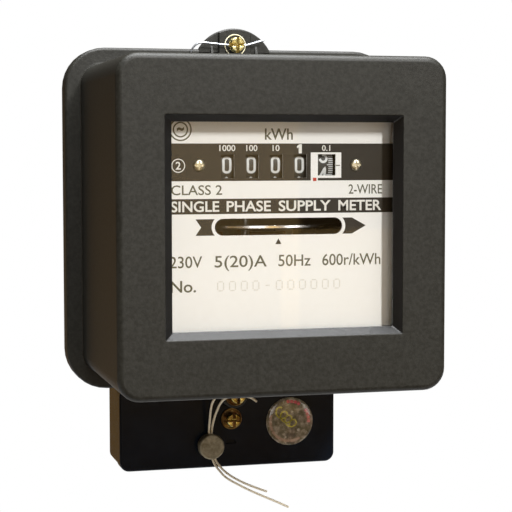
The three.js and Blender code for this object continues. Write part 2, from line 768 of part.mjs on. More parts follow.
// Each wire: its free tail, through the lead disc, up, then through the lower screw.
const leftWire = [
  [21.6, -31.4, -110.2],
  [16.9, -31.2, -107.9],
  [12.1, -31, -105.7],
  [7.3, -30.7, -103.4],
  [2.6, -30.3, -100.9],
  [-2.4, -29.8, -97.8],
  [-4.6, -29.2, -95.4],
  [-6.1, -28.4, -93.3],
  [wireX.left + wireDrift, sealDisc.y, sealDisc.z - wireReach],
  [wireX.left, sealDisc.y, sealDisc.z],
  [wireX.left - wireDrift, sealDisc.y, sealDisc.z + wireReach],
  [-8, -29.2, -76],
  [-7.6, -30.8, -71.2],
  [-7, -32.6, -68.4],
  [-5.4, -34.1, -66.2],
  [-3, crossHoleY, -65.7],
  [4, crossHoleY, -65.7],
  [6.4, crossHoleY, -65.2],
];
const rightWire = [
  [13.3, -30.7, -103.9],
  [9.2, -30.5, -102.3],
  [4.5, -30.2, -100],
  [0, -29.8, -97.2],
  [-2.6, -29.3, -95.1],
  [-4.4, -28.6, -93.1],
  [wireX.right + wireDrift, sealDisc.y, sealDisc.z - wireReach],
  [wireX.right, sealDisc.y, sealDisc.z],
  [wireX.right - wireDrift, sealDisc.y, sealDisc.z + wireReach],
  [-6.5, -29.2, -76],
  [-5.7, -30.9, -71.4],
  [-4.9, -32.6, -68.9],
  [-3.9, -33.9, -67.4],
  [-2.6, crossHoleY, -66.7],
  [4, crossHoleY, -66.7],
  [6.4, -34.6, -67.3],
  [8.3, -34.6, -68.7],
];

function leadSeal() {
  const body = turnedY(
    [
      [0, -sealDisc.half],
      [sealDisc.radius - 0.5, -sealDisc.half],
      [sealDisc.radius, 0.5 - sealDisc.half],
      [sealDisc.radius, sealDisc.half - 0.5],
      [sealDisc.radius - 0.5, sealDisc.half],
      [0, sealDisc.half],
    ],
    sealDisc.x,
    sealDisc.y,
    sealDisc.z,
    28,
  );
  const lean = -Math.atan2(wireDrift, wireReach);
  const bores = [wireX.left, wireX.right].map((x) =>
    rodZ(sealDisc.bore, 0, 0, -6, 6, 10).rotateY(lean).translate(x, sealDisc.y, sealDisc.z),
  );
  return cut(body, ...bores);
}

// The stiff steel wire of the upper seal, bent down behind the case at its left end.
function upperSealWire() {
  const route = [
    [-16.3, -33.2, 58.8],
    [-15.5, -33.8, 62],
    [-13.2, -34.4, 64],
    [-9, crossHoleY, 64],
    [-3.5, crossHoleY, 63.5],
    [4.6, crossHoleY, 63.5],
    [8, crossHoleY, 64.4],
    [11.2, crossHoleY, 65.3],
  ];
  return tube(route, 0.35, 22);
}

const sticker = { x: 23.8, z: -78.4, radius: 9.2 };
function inspectionSticker() {
  const profile = [
    [0, 0],
    [sticker.radius, 0],
    [sticker.radius, 0.3],
    [7, 0.75],
    [4, 0.95],
    [0, 1],
  ];
  return turnedY(profile, sticker.x, terminalCover.front - 0.2, sticker.z, 36);
}

// ---------------------------------------------------------------- assembly
piece("front_cover", frontCover(), coverPlastic);
piece("window_glass", windowGlass(), glass);
piece("cover_gasket", coverGasket(), rubber);
piece("base", baseTray(), basePhenolic);
for (const [name, z] of [
  ["cover_screw_top", upperEar.screwZ],
  ["cover_screw_bottom", lowerTab.screwZ],
]) {
  piece(name, sealingScrew(fixingX, z, flange.front, 4.1, 3.1, 5.2, -21, 1.15), brass);
}

piece("terminal_block", terminalBlock(), blockPhenolic);
terminalX.forEach((x, index) => {
  const number = index + 1;
  piece(`terminal_bar_${number}`, terminalBar(x, index === 0), brass);
  clampScrewZ.forEach((z, row) => {
    const name = `terminal_screw_${number}_${row === 0 ? "lower" : "upper"}`;
    piece(name, slottedScrew(x, z, terminal.front - gap, 3.2, 2.4, 1.6, 1.5), steel);
  });
});
piece("voltage_link", linkStrip(), brass);
piece(
  "voltage_link_screw",
  slottedScrew(terminalX[0], voltageLink.z, voltageLink.front - gap, 2.4, 1.8, 1.2, 7.5),
  steel,
);
piece("terminal_cover", terminalLid(), blockPhenolic);
piece(
  "terminal_cover_screw",
  sealingScrew(fixingX, lidScrewZ, terminalCover.front, 3.8, 2.85, 5, -8, 0.8),
  brass,
);

piece("main_frame", mainFrame(), castAluminium);
piece("upper_bearing", bearing(bearingSeat.top, 31.2), brass);
piece("lower_bearing", bearing(bearingSeat.bottom, -24), brass);
piece("rotor_spindle", rotorSpindle(), steel);
piece("rotor_disc", rotorDisc(), aluminium);
piece("rotor_worm", rotorWorm(), brass);
piece("voltage_core", voltageCore(), darkSteel);
piece("voltage_coil", coilRing(0, 17.2, [-43, -11], [8.6, 30.4], 6.6), copper);
piece("current_core", currentCore(), darkSteel);
for (const [name, side] of [
  ["current_coil_left", -1],
  ["current_coil_right", 1],
]) {
  piece(name, coilRing(side * limb.x, 7.4, [-37, -17], [-18.6, -5], limb.half), copper);
}
piece("brake_magnet", brakeMagnet(), ferrite);

piece("nameplate", nameplate(), platePaint);
for (const [name, side] of [
  ["nameplate_screw_left", -1],
  ["nameplate_screw_right", 1],
]) {
  piece(name, slottedScrew(side * plateScrewX, register.z, plate.front - gap, 2, 1.1, 0.9, 3), steel);
}
piece("register_frame", registerFrame(), steel);
piece("drum_shaft", frameRod(register.shaft, register.y, register.z), steel);
drumX.forEach((x, index) => {
  piece(`number_drum_${["1000", "100", "10", "1"][index]}`, digitDrum(x), drumPlastic);
});
piece("number_drum_tenths", drumBody(decimalDrum.x, decimalDrum.width), drumPlastic);
piece("carry_shaft", frameRod(carryPinion.shaft, carryY, carryZ), steel);
drumX.forEach((x, index) => {
  piece(`carry_pinion_${index + 1}`, carryPinionGear(x), pinionPlastic);
});
const towardsFront = Math.PI;
piece(
  "drum_gear",
  trainGear(drumGearTeeth, drumGearX, register.y, register.shaft + running, Math.PI / drumGearTeeth),
  brass,
);
piece("reduction_arbor", pinionArbor(reductionY, drumGearX - 0.3, towardsFront), steel);
piece(
  "reduction_gear",
  trainGear(reductionTeeth, reductionX, reductionY, 1.2, Math.PI / reductionTeeth),
  brass,
);
piece("worm_wheel_arbor", pinionArbor(wormWheelY, reductionX - 0.3, towardsFront), steel);
piece("worm_wheel", wormWheelGear(), brass);

piece("seal_disc", leadSeal(), lead);
piece("seal_wire_left", tube(leftWire, wire.radius, 46), wireSheath);
piece("seal_wire_right", tube(rightWire, wire.radius, 42), wireSheath);
piece("upper_seal_wire", upperSealWire(), steel);
piece("inspection_sticker", inspectionSticker(), stickerFoil);

export default meter;
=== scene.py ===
import json
import math
import random

import bmesh
import bpy
from mathutils import Matrix, Vector


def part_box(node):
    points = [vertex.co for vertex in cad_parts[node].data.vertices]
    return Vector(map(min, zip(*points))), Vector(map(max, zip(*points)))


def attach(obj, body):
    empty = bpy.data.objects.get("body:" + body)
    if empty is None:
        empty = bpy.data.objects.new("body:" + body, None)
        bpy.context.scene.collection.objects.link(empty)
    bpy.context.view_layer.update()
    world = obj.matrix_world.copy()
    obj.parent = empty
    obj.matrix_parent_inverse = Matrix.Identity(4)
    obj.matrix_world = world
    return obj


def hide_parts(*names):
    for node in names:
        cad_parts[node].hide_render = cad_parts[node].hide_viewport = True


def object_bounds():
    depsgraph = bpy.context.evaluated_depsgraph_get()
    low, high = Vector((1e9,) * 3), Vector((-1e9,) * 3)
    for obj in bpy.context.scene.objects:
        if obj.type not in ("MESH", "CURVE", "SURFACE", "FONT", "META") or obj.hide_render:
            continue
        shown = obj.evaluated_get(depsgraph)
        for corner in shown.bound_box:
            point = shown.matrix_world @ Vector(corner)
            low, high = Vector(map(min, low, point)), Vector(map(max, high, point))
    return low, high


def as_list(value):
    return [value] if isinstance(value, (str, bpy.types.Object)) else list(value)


# Looks of a single-phase watt-hour meter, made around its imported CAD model.
# Metres. +Z is up, the window faces -Y, and the wall plane is Y = 0.
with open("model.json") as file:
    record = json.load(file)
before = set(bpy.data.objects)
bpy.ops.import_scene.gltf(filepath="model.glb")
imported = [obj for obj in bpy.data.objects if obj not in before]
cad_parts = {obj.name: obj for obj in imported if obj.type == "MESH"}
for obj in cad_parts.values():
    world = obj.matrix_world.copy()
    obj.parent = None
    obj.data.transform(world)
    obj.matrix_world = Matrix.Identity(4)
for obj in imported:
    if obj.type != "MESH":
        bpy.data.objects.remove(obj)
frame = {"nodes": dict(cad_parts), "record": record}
cad_low, cad_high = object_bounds()
MM = 0.001


def middle(node):
    low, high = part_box(node)
    return (low + high) / 2


def half_size(node):
    low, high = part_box(node)
    return (high - low) / 2


# ------------------------------------------------------------------ driving sizes
COVER_LOW, COVER_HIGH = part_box("front_cover")
FRONT = COVER_LOW.y
CASE_HALF = 56 * MM
CASE_CORNER = 7.5 * MM
CASE_WALL = 2.6 * MM
FACE_THICK = 4.2 * MM
FACE_FILLET = 2.2 * MM
FLANGE_HALF = COVER_HIGH.x
FLANGE_CORNER = 14.6 * MM
FLANGE_FRONT = -31.6 * MM
FLANGE_THICK = 2.6 * MM
FLANGE_REAR = COVER_HIGH.y
OPENING_X = 40.3 * MM
OPENING_Z = 36.3 * MM
OPENING_BEVEL = 2.2 * MM
THROAT_SHIFT = 0.35 * MM

# The ear, the tab and the screws stand on one line, a little to the right of the middle.
FIXING_X = 0.8 * MM
UPPER_EAR_Z = 54.3 * MM
UPPER_EAR_RADIUS = 15.4 * MM
LOWER_TAB_Z = -66.2 * MM
LOWER_TAB_RADIUS = 5.2 * MM

PLATE_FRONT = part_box("nameplate")[0].y
REGISTER_Y = middle("number_drum_1").y
REGISTER_Z = middle("number_drum_1").z
DRUM_RADIUS = half_size("number_drum_tenths").z
DIGIT_HEIGHT = 5.6 * MM
DIGIT_WIDTH = 3.15 * MM
DIGIT_STROKE = 0.82 * MM

# The camera's angles are in degrees and its lens in millimetres.
CAMERA_PLACE = Vector((-139.39, -586.95, 24.22)) * MM
CAMERA_YAW = 14.957
CAMERA_PITCH = 3.847
CAMERA_ROLL = -0.066
CAMERA_LENS = 108.5
FLOOR_DROP = 150 * MM
FLOOR_X = (-0.7, 0.7)
FLOOR_Y = (-0.2, 0.42)


# ------------------------------------------------------------------ mesh helpers
def mm(*values):
    """The values, which are in millimetres, as a tuple of metres."""
    return tuple(value * MM for value in values)


def outline(half_x, half_z, radius, y, cx=0.0, cz=0.0, steps=8):
    """A rounded rectangle in X and Z at depth y, as points in order."""
    points = []
    corners = ((1, -1, -90), (1, 1, 0), (-1, 1, 90), (-1, -1, 180))
    for side_x, side_z, start in corners:
        x = cx + side_x * (half_x - radius)
        z = cz + side_z * (half_z - radius)
        for step in range(steps + 1):
            angle = math.radians(start + 90 * step / steps)
            points.append(Vector((x + radius * math.cos(angle), y, z + radius * math.sin(angle))))
    return points


def square(half, corner, y):
    return outline(half, half, corner, y)


def round_angles(count):
    return [2 * math.pi * i / count for i in range(count)]


def hoop(centre, radius, axis, count):
    """A circle of points about X, Y or Z, given as axis 0, 1 or 2."""
    across, up = (i for i in range(3) if i != axis)
    points = []
    for angle in round_angles(count):
        point = Vector(centre)
        point[across] += radius * math.cos(angle)
        point[up] += radius * math.sin(angle)
        points.append(point)
    return points


def loft(bm, loops, close=False):
    """Skins the loops, which have the same number of points, and caps both ends or closes round."""
    rings = [[bm.verts.new(point) for point in loop] for loop in loops]
    pairs = list(zip(rings, rings[1:]))
    if close:
        pairs.append((rings[-1], rings[0]))
    for one, two in pairs:
        count = len(one)
        for i in range(count):
            j = (i + 1) % count
            bm.faces.new((one[i], one[j], two[j], two[i]))
    if not close:
        bm.faces.new(rings[0])
        bm.faces.new(list(reversed(rings[-1])))


def skinned(loops, close=False):
    bm = bmesh.new()
    loft(bm, loops, close)
    return bm


def turned(profile, x, y, z, count=48):
    """A turned solid about the line through (x, z) along Y. Profile: (radius, y offset)."""
    return skinned([hoop((x, y + along, z), max(radius, 1e-6), 1, count) for radius, along in profile])


def block(x, y, z):
    """A block with the given (low, high) in each direction."""
    bm = bmesh.new()
    corners = [bm.verts.new((px, py, pz)) for pz in z for py in y for px in x]
    for face in ((0, 2, 3, 1), (4, 5, 7, 6), (0, 1, 5, 4), (2, 6, 7, 3), (0, 4, 6, 2), (1, 3, 7, 5)):
        bm.faces.new([corners[i] for i in face])
    return bm


def rod(radius, x, z, y_front, y_rear, count=32):
    return turned([(radius, 0), (radius, y_rear - y_front)], x, y_front, z, count)


def driver_cross(place, deep, reach, half):
    """Two blocks that cut a driver cross into the head of a screw."""
    blocks = []
    for across, up in ((reach, half), (half, reach)):
        x = (place.x - across, place.x + across)
        z = (place.z - up, place.z + up)
        blocks.append(block(x, deep, z))
    return blocks


def finish_mesh(bm, name, sharp=32):
    """Welds, points the faces outwards, and shades smooth up to the sharp angle."""
    bmesh.ops.remove_doubles(bm, verts=bm.verts, dist=1e-7)
    bmesh.ops.recalc_face_normals(bm, faces=bm.faces)
    for face in bm.faces:
        face.smooth = True
    for edge in bm.edges:
        if len(edge.link_faces) == 2:
            edge.smooth = edge.calc_face_angle(0) < math.radians(sharp)
    mesh = bpy.data.meshes.new(name)
    bm.to_mesh(mesh)
    bm.free()
    return mesh


def add_piece(bm, name, material, body="case", replaces=(), sharp=32):
    """Makes one visible piece of the mesh, which rides on the body and takes the material."""
    piece = bpy.data.objects.new(name, finish_mesh(bm, name, sharp))
    bpy.context.scene.collection.objects.link(piece)
    piece.data.materials.append(material)
    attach(piece, body)
    if replaces:
        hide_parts(*replaces)
    return even_shading(piece)


def even_shading(piece):
    """Large flat faces keep flat shading up to the rounded edges beside them."""
    shading = piece.modifiers.new("even_shading", "WEIGHTED_NORMAL")
    shading.keep_sharp = True
    shading.weight = 80
    return piece


def soften(piece, width, segments=2, angle=35):
    """A small rounded edge wherever the mesh has a sharp one."""
    bevel = piece.modifiers.new("edges", "BEVEL")
    bevel.width = width
    bevel.segments = segments
    bevel.limit_method = "ANGLE"
    bevel.angle_limit = math.radians(angle)
    piece.modifiers.move(len(piece.modifiers) - 1, 0)
    return piece


def evaluated(piece):
    return piece.evaluated_get(bpy.context.evaluated_depsgraph_get())


def carve(piece, *cutters):
    """Cuts the cutters out of the piece for good, and evens its shading again."""
    for cutter in cutters:
        tool = bpy.data.objects.new("cutter", finish_mesh(cutter, "cutter"))
        bpy.context.scene.collection.objects.link(tool)
        piece.modifiers.clear()
        cut = piece.modifiers.new("cut", "BOOLEAN")
        cut.operation = "DIFFERENCE"
        cut.solver = "EXACT"
        cut.object = tool
        bpy.context.view_layer.update()
        shaped = bpy.data.meshes.new_from_object(evaluated(piece))
        piece.modifiers.clear()
        piece.data = shaped
        bpy.data.objects.remove(tool)
    return even_shading(piece)


# ------------------------------------------------------------------ material helpers
class Shading:
    """A tree of shader nodes, with short ways to add and join them."""

    def __init__(self, owner):
        owner.use_nodes = True
        self.nodes = owner.node_tree.nodes
        self.links = owner.node_tree.links

    def node(self, kind, **values):
        """A new node. Names that aren't sockets are its settings."""
        made = self.nodes.new(kind)
        for key, value in values.items():
            socket = key.replace("_", " ")
            if socket in made.inputs:
                made.inputs[socket].default_value = value
            else:
                setattr(made, key, value)
        return made

    def link(self, start, end):
        self.links.new(start, end)

    def ramp(self, source, *stops):
        """Colours or greys at positions from 0 to 1."""
        ramp = self.node("ShaderNodeValToRGB")
        elements = ramp.color_ramp.elements
        while len(elements) < len(stops):
            elements.new(0.5)
        for element, (position, value) in zip(elements, stops):
            element.position = position
            element.color = (*value, 1) if hasattr(value, "__len__") else (value, value, value, 1)
        self.link(source, ramp.inputs["Fac"])
        return ramp.outputs["Color"]

    def mixed_shader(self, share, one, two, output):
        """Sends a mix of two shaders to the output node."""
        mix = self.node("ShaderNodeMixShader")
        for socket, source in zip(mix.inputs, (share, one, two)):
            self.link(source, socket)
        self.link(mix.outputs["Shader"], self.nodes[output].inputs["Surface"])


class Paint(Shading):
    """One procedural material, built around its Principled shader."""

    def __init__(self, name, color, roughness, metallic=0.0):
        self.material = bpy.data.materials.new(name)
        super().__init__(self.material)
        self.shader = self.nodes["Principled BSDF"]
        self.set("Base Color", (*color, 1))
        self.set("Roughness", roughness)
        self.set("Metallic", metallic)
        self.place = self.node("ShaderNodeTexCoord").outputs["Object"]
        self.height = None

    def set(self, socket, value):
        self.shader.inputs[socket].default_value = value

    def stretched(self, scale):
        """The place on the object, stretched by scale in X, Y and Z."""
        mapping = self.node("ShaderNodeMapping", Scale=scale)
        self.link(self.place, mapping.inputs["Vector"])
        return mapping.outputs["Vector"]

    def noise(self, scale, detail=3.0, rough=0.5, stretch=None):
        texture = self.node("ShaderNodeTexNoise", Scale=scale, Detail=detail, Roughness=rough)
        source = self.stretched(stretch) if stretch else self.place
        self.link(source, texture.inputs["Vector"])
        return texture.outputs["Fac"]

    def wave(self, kind, axis, scale, distortion=0.0, place=None):
        """Fine even lines: bands across an axis, or rings about it."""
        texture = self.node("ShaderNodeTexWave", wave_type=kind, Scale=scale, Distortion=distortion)
        setattr(texture, kind.lower() + "_direction", axis)
        self.link(place or self.place, texture.inputs["Vector"])
        return texture.outputs["Fac"]

    def mix(self, share, one, two):
        """A colour between one and two. Inputs 0, 6 and 7 are the share and the two colours."""
        mix = self.node("ShaderNodeMix", data_type="RGBA")
        for socket, value in ((0, share), (6, one), (7, two)):
            self._feed(mix.inputs[socket], value)
        return mix.outputs[2]

    def _feed(self, socket, value):
        if isinstance(value, bpy.types.NodeSocket):
            self.link(value, socket)
        elif hasattr(value, "__len__"):
            socket.default_value = (*value, 1)
        else:
            socket.default_value = value

    def color(self, source):
        self.link(source, self.shader.inputs["Base Color"])

    def between(self, source, low, high):
        """The source, which runs from 0 to 1, spread from low to high."""
        made = self.node("ShaderNodeMapRange", To_Min=low, To_Max=high)
        self.link(source, made.inputs["Value"])
        return made.outputs["Result"]

    def rough(self, source, low, high):
        self.link(self.between(source, low, high), self.shader.inputs["Roughness"])

    def bump(self, source, depth, strength=1.0):
        """Adds a layer of relief, depth metres high, on top of the ones before."""
        bump = self.node("ShaderNodeBump", Strength=strength, Distance=depth)
        self.link(source, bump.inputs["Height"])
        if self.height is not None:
            self.link(self.height, bump.inputs["Normal"])
        self.height = bump.outputs["Normal"]
        self.link(self.height, self.shader.inputs["Normal"])


def moulded_plastic(name, dark, light, roughness, grain_depth, gloss=0.5):
    """Moulded plastic: a faint cloudy colour, fine sand grain, and slight polish marks."""
    paint = Paint(name, light, roughness)
    clouds = paint.noise(60, 4)
    paint.color(paint.mix(paint.ramp(clouds, (0.35, 0.0), (0.7, 1.0)), dark, light))
    paint.rough(paint.noise(350, 3), roughness - 0.06, roughness + 0.08)
    paint.bump(paint.noise(1100, 3, 0.6), grain_depth)
    paint.bump(paint.noise(180, 2), grain_depth * 1.5, 0.5)
    paint.set("Specular IOR Level", gloss)
    return paint.material


def metal(name, dark, light, roughness, brushed=(1, 1, 1)):
    """Metal with cloudy tarnish and fine scratches, which run along one way if brushed."""
    paint = Paint(name, light, roughness, 1.0)
    paint.color(paint.mix(paint.ramp(paint.noise(260, 3), (0.35, 0.0), (0.65, 1.0)), dark, light))
    scratches = paint.noise(900, 3, 0.6, brushed)
    paint.rough(scratches, roughness - 0.08, roughness + 0.14)
    paint.bump(scratches, 0.006 * MM, 0.5)
    return paint.material


def printed(name, dark, light, roughness=0.5):
    """Screen-printed ink: an even colour with a faint mottle and a soft sheen."""
    paint = Paint(name, light, roughness)
    paint.color(paint.mix(paint.noise(500, 4), dark, light))
    paint.rough(paint.noise(1400, 2), roughness - 0.05, roughness + 0.08)
    paint.bump(paint.noise(3000, 2), 0.006 * MM)
    paint.set("Specular IOR Level", 0.2)
    return paint.material


def thin_clear(name, tint, smear_scale, smear, bend):
    """Clear sheet or resin: what is behind shows through, and only its gloss is added."""
    paint = Paint(name, (1, 1, 1), smear[0])
    clear = paint.node("ShaderNodeBsdfTransparent", Color=(*tint, 1))
    gloss = paint.node("ShaderNodeBsdfGlossy")
    smears = paint.between(paint.noise(smear_scale, 3), *smear)
    paint.link(smears, gloss.inputs["Roughness"])
    edge = paint.node("ShaderNodeFresnel", IOR=bend)
    parts = (edge.outputs["Fac"], clear.outputs["BSDF"], gloss.outputs["BSDF"])
    paint.mixed_shader(*parts, "Material Output")
    return paint.material


def cover_plastic():
    """Matt moulded plastic with a sand grain of fine lighter and darker specks."""
    dark, light = (0.0105, 0.0103, 0.0078), (0.0195, 0.0191, 0.0155)
    paint = Paint("cover_plastic", light, 0.46)
    grain = paint.noise(900, 4, 0.65)
    paint.color(paint.mix(paint.ramp(grain, (0.36, 0.0), (0.64, 1.0)), dark, light))
    paint.rough(grain, 0.4, 0.54)
    paint.bump(grain, 0.05 * MM)
    paint.bump(paint.noise(180, 2), 0.03 * MM, 0.5)
    paint.set("Specular IOR Level", 0.27)
    return paint.material


def disc_aluminium():
    """Rolled aluminium, turned in fine rings about the spindle."""
    paint = Paint("aluminium", (0.86, 0.87, 0.88), 0.24, 1.0)
    shift = paint.node("ShaderNodeMapping", Location=-middle("rotor_disc"))
    paint.link(paint.place, shift.inputs["Vector"])
    rings = paint.wave("RINGS", "Z", 420, 0.4, shift.outputs["Vector"])
    paint.color(paint.mix(paint.noise(300, 3), (0.78, 0.79, 0.8), (0.9, 0.91, 0.92)))
    paint.rough(rings, 0.18, 0.32)
    paint.bump(rings, 0.01 * MM, 0.5)
    return paint.material


def cast_aluminium():
    paint = Paint("cast_aluminium", (0.42, 0.43, 0.44), 0.55, 1.0)
    paint.color(paint.mix(paint.noise(240, 5), (0.3, 0.3, 0.31), (0.46, 0.47, 0.48)))
    paint.rough(paint.noise(900, 3), 0.45, 0.7)
    paint.bump(paint.noise(1500, 4), 0.06 * MM)
    return paint.material


def laminated_steel():
    """A stack of thin sheets, seen on edge as fine lines across Y."""
    paint = Paint("lamination_steel", (0.09, 0.095, 0.1), 0.5, 0.8)
    sheets = paint.wave("BANDS", "Y", 420)
    paint.color(paint.mix(sheets, (0.05, 0.052, 0.056), (0.14, 0.145, 0.15)))
    paint.rough(paint.noise(500, 3), 0.4, 0.62)
    paint.bump(sheets, 0.05 * MM)
    return paint.material


def copper_winding():
    """Turns of enamelled wire, stacked up Z."""
    paint = Paint("copper_winding", (0.42, 0.12, 0.04), 0.35, 0.6)
    turns = paint.wave("BANDS", "Z", 520, 0.3)
    paint.color(paint.mix(turns, (0.2, 0.045, 0.012), (0.55, 0.17, 0.055)))
    paint.rough(paint.noise(700, 2), 0.25, 0.42)
    paint.bump(turns, 0.12 * MM)
    return paint.material


def lead_metal():
    """Soft lead: dull, mottled, dented and a little oxidised."""
    dark, light = (0.15, 0.125, 0.075), (0.31, 0.275, 0.195)
    paint = Paint("lead", light, 0.55, 0.55)
    patches = paint.noise(420, 5, 0.6)
    paint.color(paint.mix(paint.ramp(patches, (0.35, 0.0), (0.65, 1.0)), dark, light))
    paint.rough(paint.noise(800, 3), 0.42, 0.68)
    paint.bump(paint.noise(700, 4), 0.12 * MM)
    paint.bump(paint.noise(220, 2), 0.2 * MM, 0.6)
    return paint.material


def wire_sheath():
    paint = Paint("wire_sheath", (0.82, 0.76, 0.62), 0.5)
    paint.color(paint.mix(paint.noise(260, 3), (0.58, 0.5, 0.36), (0.78, 0.72, 0.58)))
    paint.rough(paint.noise(900, 2), 0.42, 0.6)
    paint.bump(paint.noise(1200, 2), 0.01 * MM)
    return paint.material


def sticker_foil():
    """Patterned foil under a clear dome: grey speckle with painted glints in its near-white specks, and
    greenish and pink tints.
    """
    paint = Paint("sticker_foil", (0.2, 0.18, 0.15), 0.3)
    speckle = paint.noise(520, 5, 0.7)
    # The near-white top of the grey speckle is painted glints, highlights of the crumpled foil; the rest
    # is the foil's own speckle.
    greys_and_glints = ((0.38, (0.1, 0.09, 0.07)), (0.52, (0.4, 0.36, 0.28)), (0.64, (0.95, 0.9, 0.8)))
    tints = ((0.35, (0.2, 0.22, 0.1)), (0.52, (0.3, 0.27, 0.21)), (0.7, (0.42, 0.27, 0.25)))
    grey = paint.ramp(speckle, *greys_and_glints)
    paint.color(paint.mix(0.35, grey, paint.ramp(paint.noise(260, 2), *tints)))
    paint.rough(speckle, 0.25, 0.5)
    paint.bump(speckle, 0.2 * MM, 0.8)
    paint.set("Coat Weight", 1.0)
    paint.set("Coat Roughness", 0.04)
    return paint.material


# Plastics: darkest and lightest colour, roughness, depth of the grain, gloss.
COVER = cover_plastic()
# Glossier plastic for the window's bevel; its much darker colour is painted shade in the opening.
GLOSSY_SHADED_BEVEL = moulded_plastic("glossy_shaded_bevel", (0.003,) * 3, (0.005,) * 3, 0.38, 0.004 * MM, 0.65)
BASE = moulded_plastic(
    "base_phenolic", (0.014, 0.012, 0.01), (0.022, 0.019, 0.016), 0.5, 0.02 * MM, 0.25
)
BLOCK = moulded_plastic(
    "block_phenolic", (0.002, 0.0044, 0.0092), (0.0036, 0.0076, 0.015), 0.2, 0.006 * MM, 0.17
)
FERRITE = moulded_plastic("ferrite", (0.022, 0.022, 0.026), (0.045, 0.046, 0.052), 0.5, 0.06 * MM)
RUBBER = moulded_plastic("rubber", (0.008, 0.008, 0.009), (0.016, 0.016, 0.017), 0.75, 0.05 * MM)
DRUM = moulded_plastic("drum_plastic", (0.03, 0.028, 0.022), (0.046, 0.043, 0.034), 0.5, 0.015 * MM)
PINION = moulded_plastic("pinion_plastic", (0.66, 0.63, 0.55), (0.78, 0.75, 0.67), 0.42, 0.01 * MM)

# Metals: darkest and lightest colour, roughness.
DISC = disc_aluminium()
CAST = cast_aluminium()
LAMINATED = laminated_steel()
COPPER = copper_winding()
LEAD = lead_metal()
STEEL = metal("steel", (0.5, 0.5, 0.5), (0.72, 0.73, 0.75), 0.3, (1, 6, 1))
NICKEL = metal("nickel", (0.66, 0.6, 0.42), (0.9, 0.87, 0.74), 0.3)
BRIGHT_WIRE = metal("bright_wire", (0.36, 0.38, 0.41), (0.52, 0.54, 0.58), 0.4)
BRASS = metal("brass", (0.26, 0.18, 0.04), (0.66, 0.56, 0.22), 0.2)
# A darker copy of brass, painted shade, for the collars of the two screws under the case.
SHADED_BRASS = metal("shaded_brass", (0.1, 0.05, 0.02), (0.34, 0.24, 0.1), 0.26)
# Dark brass for the inside of the driver crosses: painted shade in the recess.
SHADED_SLOT_BRASS = metal("shaded_slot_brass", (0.05, 0.02, 0.008), (0.2, 0.1, 0.04), 0.4)
# Lighter copies of brass for the upper screw: painted light on its head, and a near-white collar of
# painted highlights.
LIT_BRASS = metal("lit_brass", (0.6, 0.52, 0.16), (0.95, 0.88, 0.5), 0.22)
HIGHLIT_COLLAR = metal("highlit_collar", (0.78, 0.72, 0.48), (0.98, 0.95, 0.78), 0.45)

# The sticker, the seal wire and the window.
FOIL = sticker_foil()
FOIL_GREEN = metal("foil_green", (0.34, 0.33, 0.04), (0.75, 0.74, 0.24), 0.35)
FOIL_RED = metal("foil_red", (0.5, 0.12, 0.15), (0.74, 0.32, 0.34), 0.35)
FOIL_PINK = metal("foil_pink", (0.33, 0.24, 0.22), (0.55, 0.45, 0.42), 0.35)
# Small bright spots printed on the sticker's foil: painted highlights where light glints on it.
FOIL_PAINTED_HIGHLIGHT = printed("foil_painted_highlight", (0.72, 0.7, 0.6), (0.9, 0.88, 0.8), 0.3)
SHEATH = wire_sheath()
GLASS = thin_clear("window_glass", (0.995, 0.998, 0.995), 25, (0.0, 0.05), 1.35)
CLEAR_RESIN = thin_clear("clear_resin", (0.93, 0.92, 0.9), 300, (0.02, 0.12), 1.5)

# Paint and inks: darkest and lightest colour.
PLATE = printed("plate_paint", (0.9, 0.893, 0.868), (0.96, 0.956, 0.938))
INK_DARK = printed("ink_dark", (0.03, 0.026, 0.02), (0.042, 0.037, 0.029))
INK_OLIVE = printed("ink_olive", (0.095, 0.095, 0.062), (0.13, 0.13, 0.09))
INK_WHITE = printed("ink_white", (0.78, 0.77, 0.72), (0.88, 0.87, 0.83))
INK_RED = printed("ink_red", (0.5, 0.05, 0.03), (0.62, 0.08, 0.05), 0.45)
INK_PALE = printed("ink_pale", (0.66, 0.64, 0.58), (0.72, 0.7, 0.64))
DIGIT_WHITE = printed("digit_white", (0.66, 0.68, 0.68), (0.78, 0.8, 0.8))

SLOT_LOOK = {
    "cover_plastic": COVER,
    "base_phenolic": BASE,
    "block_phenolic": BLOCK,
    "brass": BRASS,
    "steel": STEEL,
    "lamination_steel": LAMINATED,
    "aluminium": DISC,
    "cast_aluminium": CAST,
    "copper_winding": COPPER,
    "ferrite": FERRITE,
    "lead": LEAD,
    "drum_plastic": DRUM,
    "pinion_plastic": PINION,
    "plate_paint": PLATE,
    "rubber": RUBBER,
    "wire_sheath": SHEATH,
    "sticker_foil": FOIL,
    "glass": GLASS,
}


def dress_cad_nodes():
    """Every CAD node that stays in view gets its slot's procedural material."""
    slots = {part["node"]: part["material_slot"] for part in frame["record"]["subparts"]}
    for name, node in frame["nodes"].items():
        node.data.materials.clear()
        node.data.materials.append(SLOT_LOOK[slots[name]])


# ------------------------------------------------------------------ front cover
def fillet(half, corner, y_from, y_to, radius, steps=5):
    """Loops that round an outer edge from the side (y_from) over to the face (y_to)."""
    sign = 1 if y_to > y_from else -1
    loops = []
    for step in range(steps + 1):
        angle = math.radians(90 * step / steps)
        inset = radius * (1 - math.cos(angle))
        y = y_to - sign * radius * (1 - math.sin(angle))
        loops.append(outline(half - inset, half - inset, corner - inset, y))
    return loops


